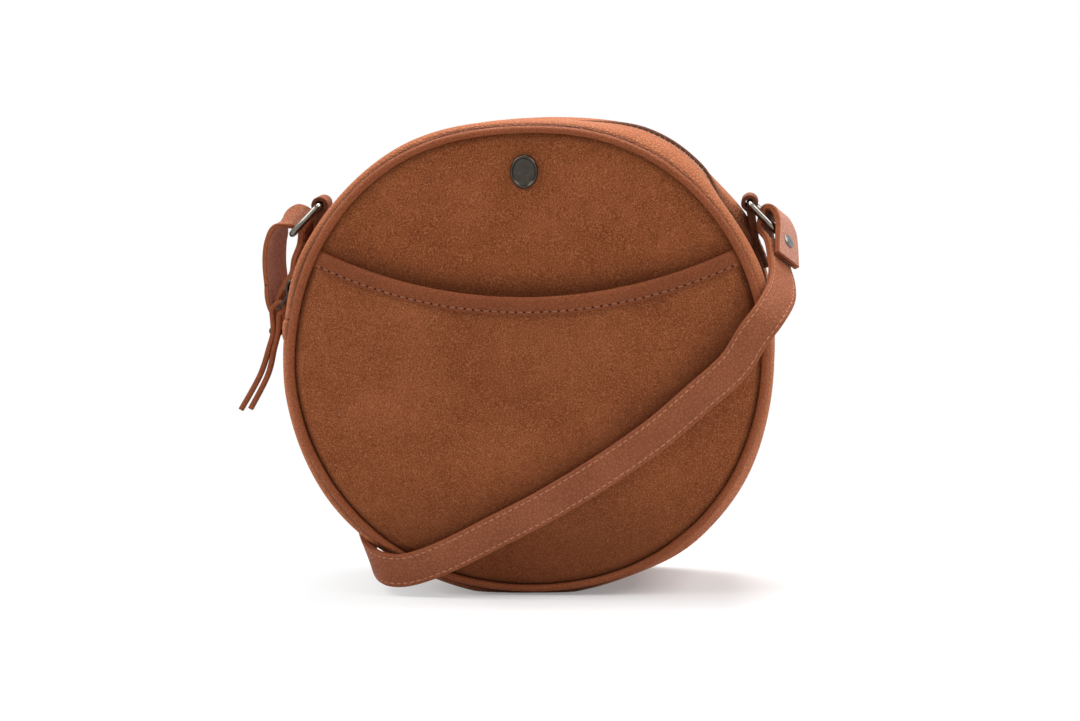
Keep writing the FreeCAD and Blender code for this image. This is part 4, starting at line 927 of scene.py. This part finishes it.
def make_tab(side, face):
    """Leather folded round the ring's bar, both plies sewn to the gusset."""
    eye = at(EYE_REACH, EYE_TURN, RING_Y)
    neck = at(111.85, 25.2, RING_Y)
    up = (eye - neck).normalized()
    away = Vector((up.z, 0, -up.x))
    loop, ply, half = 2.95, 0.95, 7.5
    foot, upper_ply, lower_ply = (18.7, 20.6, 22.6, 24.4), 112.63, 110.98
    stations = [at(upper_ply, turn, RING_Y) for turn in foot]
    stations += [neck + up * 1.6 + away * 0.82, eye - up * 4.3 + away * 0.86]
    for turn in (-142, -100, -50, 0, 50, 100, 142):
        lean = radians(turn)
        stations.append(eye + (up * cos(lean) - away * sin(lean)) * loop)
    stations += [eye - up * 4.3 - away * 0.86, neck + up * 1.6 - away * 0.82]
    stations += [at(lower_ply, turn, RING_Y) for turn in reversed(foot)]
    places = [(Vector((side * p.x, p.y, p.z)), TO_BACK) for p in stations]
    outline = [
        (-half + 0.3, ply), (-half + 1.4, ply), (-half + 2.0, ply - 0.1), (-half + 2.6, ply), (0, ply + 0.05),
        (half - 2.6, ply), (half - 2.0, ply - 0.1), (half - 1.4, ply), (half - 0.3, ply), (half, ply - 0.3),
        (half, -ply + 0.3), (half - 0.3, -ply), (0, -ply), (-half + 0.3, -ply),
        (-half, -ply + 0.3), (-half, ply - 0.3),
    ]
    rows = rows_through(places, 5)
    bm = drawn(rows, outline, lambda k: 1 if 8 <= k <= 10 or k >= 13 else 0)
    piece(bm, face + "_ring_tab_leather", [TRIM, TAB_EDGE], "bag", (face + "_ring_tab",))
    bm = bmesh.new()
    face_rows = rows[:22]
    spot, along, across, out = face_rows[5]
    sign = 1 if out.dot(spot - Vector((0, RING_Y, MID))) > 0 else -1
    for u in (-5.5, 5.5):
        line = [(p + w * u + n * (sign * (ply - 0.02)), n * sign) for p, t, w, n in face_rows]
        sew(bm, line, pitch=3.4, long=2.4, wide=0.7, tall=0.5, hole=0.7)
    piece(bm, face + "_ring_tab_stitches", [THREAD, HOLE_SHADE], "bag")


make_tab(-1, "left")
make_tab(1, "right")


def make_thong():
    """Leather strip through the puller, its two tails hanging side by side."""
    aim = radians(PULL_AIM)
    fold = ((1.6, 1.0), (0.4, 1.06), (-0.6, 0.84), (-1, 0), (-0.6, -0.84), (0.4, -1.06), (1.6, -1.0))
    outer = ((-3.3, -11.0), (-5.4, -18.5), (-10.0, -31.5), (-19.3, -47.6))
    inner = ((-1.0, -11.4), (-3.1, -19.1), (-6.4, -31.5), (-14.8, -47.2))
    spots = [PULL_BAR + Vector((x, 0, z)) for x, z in reversed(outer)]
    for along, over in fold:
        u, v = along * 2.1, over * 2.0
        x, z = u * cos(aim) + v * sin(aim), u * sin(aim) - v * cos(aim)
        spots.append(PULL_BAR + Vector((x, 0, z)))
    spots += [PULL_BAR + Vector((x, 0, z)) for x, z in inner]
    rows = rows_through([(p, TO_BACK) for p in spots], 6)
    outline = [
        (-1.7, 0.75), (-1.35, 1.2), (0, 1.26), (1.35, 1.2), (1.7, 0.75),
        (1.7, -0.75), (1.35, -1.2), (0, -1.26), (-1.35, -1.2), (-1.7, -0.75),
    ]
    bm = drawn(rows, outline, lambda k: 1 if k in (4, 9) else 0)
    piece(bm, "pull_thong_leather", [THONG, EDGE], "pull_thong", ("pull_thong",))


make_thong()

# The rest of the strap, in the same way. Its ends are counted from the ring's bar.
RIGHT_END = (
    ((4.1, -20.8, -11.5), (0.62, 0.5, -0.6)), ((4, -13.7, -4.4), (0.58, 0.58, -0.57)),
    ((3.5, -6.8, 2.3), (0.5, 0.7, -0.5)), ((0.7, -1.6, 7.7), (0.42, 0.8, -0.43)),
    ((-3.3, 0.3, 8.7), (0.38, 0.84, -0.38)), ((-5.2, -0.2, 5.5), (0.32, 0.89, -0.32)),
    ((-5.5, -3.5, -1), (0.38, 0.82, -0.42)), ((-1.3, -12, -6), (0.55, 0.62, -0.55)),
    ((0.6, -20.5, -12.5), (0.62, 0.5, -0.6)),
)
LEFT_RISE = (
    ((-72, 85, 10), (-0.2, 0.1, -0.97)), ((-88, 80, 24), (-0.5, 0.6, -0.55)),
    ((-97, 70, 46), (-0.25, 0.9, 0.1)), ((-102, 58, 70), (0.1, 0.9, 0.4)),
    ((-107, 47, 92), (0.3, 0.86, 0.4)), ((-111.6, 35, 110), (0.42, 0.86, 0.25)),
)
LEFT_END = (
    ((-8.3, 1, -33.2), (0.48, 0.87, 0.05)), ((-9.4, 0.1, -23.6), (0.5, 0.86, 0)),
    ((-10.1, 0, -13), (0.48, 0.87, 0)), ((-9, 0, -3.2), (0.46, 0.85, 0.24)),
    ((-5.6, 0, 4.2), (0.46, 0.72, 0.52)), ((1, 0, 7.1), (0.44, 0.66, 0.61)),
    ((5.6, 0, 3.8), (0.34, 0.88, 0.34)), ((5, 0, -4.4), (0.26, 0.96, 0.1)),
    ((2.6, 0, -12), (0.32, 0.95, 0)), ((1.6, 0, -18.6), (0.36, 0.93, 0)),
    ((-1.7, 0, -24.8), (0.44, 0.9, 0)), ((-4.9, 0.4, -30.4), (0.48, 0.87, 0.05)),
    ((-4.8, 0.7, -34.8), (0.48, 0.87, 0.05)),
)
# Rows of the put-away length: first row's place, their ends, spacing, number and height.
ROW_Y, ROW_RIGHT, ROW_LEFT, ROW_STEP, ROW_COUNT, ROW_Z = 46.0, 30.0, -48.0, 8.0, 6, 8.0


def folded_rows():
    """The put-away length of the strap, to and fro on its edge behind the bag."""
    upright = (0.0, 0.0, -1.0)
    made = []
    for number in range(ROW_COUNT):
        y = ROW_Y + number * ROW_STEP
        ends = (ROW_LEFT, ROW_RIGHT) if number % 2 == 0 else (ROW_RIGHT, ROW_LEFT)
        for share in (0.0, 0.33, 0.67, 1.0):
            made.append(((ends[0] + (ends[1] - ends[0]) * share, y, ROW_Z), upright))
        if number < ROW_COUNT - 1:
            side = 1 if number % 2 == 0 else -1
            for angle in (-45, 0, 45):
                turn = radians(angle)
                x = ends[1] + side * ROW_STEP / 2 * (1 + cos(turn))
                made.append(((x, y + ROW_STEP / 2 * (1 + sin(turn)), ROW_Z), upright))
    return made


# Section of the strap: grain side, edge, flesh side, edge, with a furrow under each row of stitches.
STRAP_OUTLINE = [
    (-7.05, 1.42), (-6.4, 1.5), (-5.7, 1.36), (-5.0, 1.5), (0, 1.54), (5.0, 1.5), (5.7, 1.36), (6.4, 1.5),
    (7.05, 1.42), (7.42, 1.0), (7.5, 0.4), (7.2, 0.0), (7.5, -0.4), (7.42, -1.0),
    (7.05, -1.42), (6.4, -1.5), (5.7, -1.38), (5.0, -1.5), (-5.0, -1.5), (-5.7, -1.38), (-6.4, -1.5),
    (-7.05, -1.42), (-7.42, -1.0), (-7.5, -0.4), (-7.2, 0.0), (-7.5, 0.4), (-7.42, 1.0),
]


def strap_side(k):
    """Which finish a side of the strap's section takes: grain, edge or flesh."""
    if 8 <= k <= 13 or k >= 21:
        return 1
    return 2 if 14 <= k <= 20 else 0


def make_strap():
    """Two-ply strap with stitched edges, in two pieces that meet out of sight by the bag's lower left."""
    right = [(RIGHT_BAR + Vector(p), w) for p, w in RIGHT_END] + list(FRONT_RUN)
    left = folded_rows() + list(LEFT_RISE) + [(LEFT_BAR + Vector(p), w) for p, w in LEFT_END]
    steps = 8
    whole = rows_through(right + left, steps)
    split = (len(RIGHT_END) + 16) * steps
    ends = (
        # Two points, in metres, on each end's way from the bag to its ring.
        ("right", whole[: split + 1], (0.112, -0.028, 0.135), (0.112, 0.003, 0.155)),
        ("left", whole[split:], (-0.113, 0.032, 0.108), (-0.120, 0.018, 0.127)),
    )
    for face, rows, start, end in ends:
        bm = drawn(rows, STRAP_OUTLINE, strap_side)
        spot, along, across, out = rows[0] if face == "right" else rows[-1]
        # Painted shade: a thin dark pill across the strap's cut end, for the gap between its two plies.
        pill(bm, spot, across, out, along, 14.0, 0.5, 0.3, 3)
        made = piece(bm, "shoulder_strap_" + face, [STRAP, EDGE, FLESH, HOLE_SHADE], None,
                     ("shoulder_strap",))
        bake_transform(made)
        bm = bmesh.new()
        for u in (-5.7, 5.7):
            for v in (1, -1):
                line = [(p + w * u + n * (v * 1.36), n * v) for p, t, w, n in rows]
                sew(bm, line, pitch=3.2, long=2.3, wide=0.62, tall=0.45)
        made = piece(bm, "shoulder_strap_%s_stitches" % face, [THREAD], None)
        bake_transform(made)


make_strap()

# ---- metal parts


def make_ring(side, face):
    """Rounded oblong of polished wire, held in the tab's eye and carrying the strap's end."""
    eye, bar = (Vector((side * p.x, p.y, p.z)) for p in (at(EYE_REACH, EYE_TURN, RING_Y), RIGHT_BAR))
    down, deep = (bar - eye).normalized(), TO_BACK
    long, half, bend, wire = (bar - eye).length, 9.7, 3.2, 1.6
    path = []
    for spin, (u, v) in enumerate(((0, 1), (1, 1), (1, -1), (0, -1))):
        heart = eye + down * (bend if u == 0 else long - bend) + deep * (v * (half - bend))
        for k in range(7):
            lean = radians(180 - 90 * spin - 15 * k)
            path.append(heart + down * (bend * cos(lean)) + deep * (bend * sin(lean)))
    face_on = down.cross(deep).normalized()
    rows = []
    for k, spot in enumerate(path):
        along = (path[(k + 1) % len(path)] - path[k - 1]).normalized()
        rows.append((spot, along, face_on, along.cross(face_on)))
    bm = drawn(rows, circle(wire, wire, 16), endless=True)
    piece(bm, face + "_ring_wire", [WIRE], face + "_ring", (face + "_ring",))


def make_badge():
    """Small oval plate with a raised rim, on the front below the top seam."""
    profile = (
        (0.0, 1.25), (0.25, 1.2), (0.5, 1.02), (0.74, 0.66), (0.78, 0.75), (0.81, 1.3), (0.86, 1.62), (0.92, 1.62),
        (0.97, 1.3), (1.0, 0.7), (1.0, -1.2),
    )
    bm = turned([(reach, -tall) for reach, tall in profile], 0, 360, 72, middle=0, closed=False)
    half_wide, half_tall, spot = 6.2, 7.5, (0, -34.6, 191.6)
    ops.scale(bm, vec=(half_wide, 1, half_tall), verts=bm.verts)
    ops.translate(bm, vec=spot, verts=bm.verts)
    piece(bm, "badge_plate", [BADGE], "bag", ("badge",))


def make_slider():
    """Zip slider: two shield plates joined by a wedge, flanges over the tapes and a round-topped bail.
    It is made upright above the bag's axis and turned to where it is parked."""
    bm = bmesh.new()
    shield = ((-4.5, -3.6), (-4.0, -4.2), (0.0, -4.2), (3.9, -3.3), (4.5, -2.6),
              (4.5, 2.6), (3.9, 3.3), (0.0, 4.2), (-4.0, 4.2), (-4.5, 3.6))
    thick = 1.1
    for low in (104.65, 109.55):
        plate = bmesh.new()
        face = plate.faces.new([plate.verts.new((x, y, low)) for x, y in shield])
        raised = ops.extrude_face_region(plate, geom=[face])["geom"]
        ops.translate(
            plate, vec=(0, 0, thick), verts=[v for v in raised if isinstance(v, bmesh.types.BMVert)],
        )
        ops.recalc_face_normals(plate, faces=plate.faces)
        round_off(plate, 0.3, segments=2, profile=0.6)
        grow(bm, plate)
    flange, wedge = (7.6, 0.9, 1.2), (2.6, 1.8, 5.2)
    for size, spot in (
        (flange, (0.0, -3.7, 109.2)), (flange, (0.0, 3.7, 109.2)), (wedge, (-3.0, 0.0, ZIP_LEVEL)),
        (flange, (0.0, -3.7, 106.1)), (flange, (0.0, 3.7, 106.1)),
    ):
        block = brick(size, spot)
        round_off(block, 0.2)
        grow(bm, block)
    arch = ((-3.85, 110.2), (-3.9, 112.8), (-3.5, 114.9), (-2.1, 116.3), (0.1, 116.7), (2.3, 116.2), (3.6, 114.7),
            (3.9, 112.6), (3.9, 110.2))
    rows = rows_through([(Vector((x, 0, z)), TO_BACK) for x, z in arch], 4)
    grow(bm, drawn(rows, circle(1.05, 0.85, 12)))
    stand = Matrix.Translation((0, 0, MID)) @ Matrix.Rotation(radians(90 - SLIDER_TURN), 4, "Y")
    ops.transform(bm, matrix=stand, verts=bm.verts)
    piece(bm, "zip_slider_metal", [GUNMETAL], "zip_slider", ("zip_slider",))


def make_left_rivet():
    """Rivet through both plies of the strap's left end: a domed head on each side, the inner one lower."""
    heart = LEFT_BAR + Vector((-6.9, 0.8, -29.4))
    way = Vector((0.87, -0.48, 0.03)).normalized()
    profile = ((0.0, 4.0), (1.6, 3.9), (2.8, 3.55), (3.2, 3.1), (3.2, 2.7), (1.2, 2.6))
    outline = [(reach, tall - 0.6) for reach, tall in profile]
    outline += [(reach, -tall) for reach, tall in reversed(profile)]
    bm = turned(outline, 0, 360, 24, middle=0, closed=False)
    spin = TO_BACK.rotation_difference(way).to_matrix().to_4x4()
    ops.transform(bm, matrix=Matrix.Translation(heart) @ spin, verts=bm.verts)
    piece(bm, "left_strap_rivet_heads", [RIVET], "left_ring", ("left_strap_rivet",))


make_slider()
make_left_rivet()
make_ring(-1, "left")
make_ring(1, "right")
make_badge()

for label in (
    "zip_puller", "right_strap_rivet", "thong_rivet", "badge_washer",
    "zip_top_stop_front", "zip_top_stop_back", "zip_bottom_stop",
):
    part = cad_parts[label]
    part.data.materials.clear()
    part.data.materials.append(RIVET if label.endswith("strap_rivet") else GUNMETAL)
    weld = part.modifiers.new("weld", "WELD")
    weld.merge_threshold = 0.00001
    soften = part.modifiers.new("soften", "BEVEL")
    soften.width = 0.00018
    soften.segments = 2
    soften.limit_method = "ANGLE"
    soften.angle_limit = radians(35)

# ---- floor, light and camera


def camera_white(tree, plain, seen):
    """Shader that is seen by camera, mirror and see-through rays, over a plain one that lights the bag."""
    rays = tree.nodes.new("ShaderNodeLightPath")
    most = sums("MAXIMUM", rays.outputs["Is Camera Ray"], rays.outputs["Is Glossy Ray"])
    return either(sums("MAXIMUM", most, rays.outputs["Is Transmission Ray"]), plain, seen)


def make_floor():
    """White floor that shows only the shadow near the bag."""
    bm = bmesh.new()
    ops.create_grid(bm, x_segments=1, y_segments=1, size=6)
    mesh = bpy.data.meshes.new("floor")
    bm.to_mesh(mesh)
    bm.free()
    floor = bpy.data.objects.new("floor", mesh)
    scene.collection.objects.link(floor)
    finish = bpy.data.materials.new("white floor")
    finish.use_nodes = True
    tree = finish.node_tree
    tree.nodes.remove(tree.nodes["Principled BSDF"])
    matt = add(tree, "ShaderNodeBsdfDiffuse", Color=(0.78, 0.78, 0.78, 1))
    glow = add(tree, "ShaderNodeEmission", Color=(1, 1, 1, 1), Strength=0.23)
    both = tree.nodes.new("ShaderNodeAddShader")
    join(matt.outputs[0], both.inputs[0])
    join(glow.outputs[0], both.inputs[1])
    apart = add(tree, "ShaderNodeVectorMath", operation="DISTANCE")
    join(tree.nodes.new("ShaderNodeTexCoord").outputs["Object"], apart.inputs[0])
    apart.inputs[1].default_value = (0.07, -0.01, 0.0)
    white = add(tree, "ShaderNodeEmission", Color=(1, 1, 1, 1), Strength=1.0)
    seen = either(remap(apart.outputs["Value"], 0.09, 0.18), both.outputs[0], white.outputs[0])
    surface = camera_white(tree, matt.outputs[0], seen)
    join(surface, tree.nodes["Material Output"].inputs["Surface"])
    mesh.materials.append(finish)


def make_light():
    """Even white surroundings and three soft lamps."""
    world = bpy.data.worlds.new("studio")
    world.use_nodes = True
    scene.world = world
    tree = world.node_tree
    soft = tree.nodes["Background"]
    soft.inputs["Color"].default_value = (1.0, 1.0, 1.0, 1)
    soft.inputs["Strength"].default_value = 0.34
    white = add(tree, "ShaderNodeBackground", Color=(1, 1, 1, 1), Strength=1.0)
    surface = camera_white(tree, soft.outputs[0], white.outputs[0])
    join(surface, tree.nodes["World Output"].inputs["Surface"])
    aim = Vector((0, 0, 0.1))
    for name, spot, size, power in (
        ("left", (-0.95, -0.30, 1.10), 0.7, 9.5),
        ("right", (0.95, -0.20, 1.10), 0.7, 9.0),
        ("top", (0.0, 0.42, 1.45), 0.8, 22.0),
    ):
        lamp = bpy.data.lights.new(name, "AREA")
        lamp.size = size
        lamp.energy = power
        stand = bpy.data.objects.new(name, lamp)
        stand.location = spot
        stand.rotation_mode = "QUATERNION"
        stand.rotation_quaternion = (aim - Vector(spot)).to_track_quat("-Z", "Y")
        scene.collection.objects.link(stand)


def make_camera():
    """Long lens in front of the bag, a little to the right and above, leaning a little."""
    turn, rise, lean, away = radians(5.0), radians(8.0), radians(0.7), 1.3
    right = Vector((cos(turn), sin(turn), 0))
    back = Vector((sin(turn) * cos(rise), -cos(turn) * cos(rise), sin(rise)))
    up = back.cross(right)
    target = Vector((0, -0.032, 0.108)) + right * 0.0058 - up * 0.0011
    data = bpy.data.cameras.new("camera")
    data.sensor_width = 36.0
    data.lens = 96.9
    data.clip_start = 0.05
    eye = bpy.data.objects.new("camera", data)
    eye.location = target + back * away
    eye.rotation_mode = "QUATERNION"
    eye.rotation_quaternion = Quaternion(back, -lean) @ (-back).to_track_quat("-Z", "Y")
    scene.collection.objects.link(eye)
    scene.camera = eye


make_floor()
make_light()
make_camera()
scene.view_settings.view_transform = "Standard"
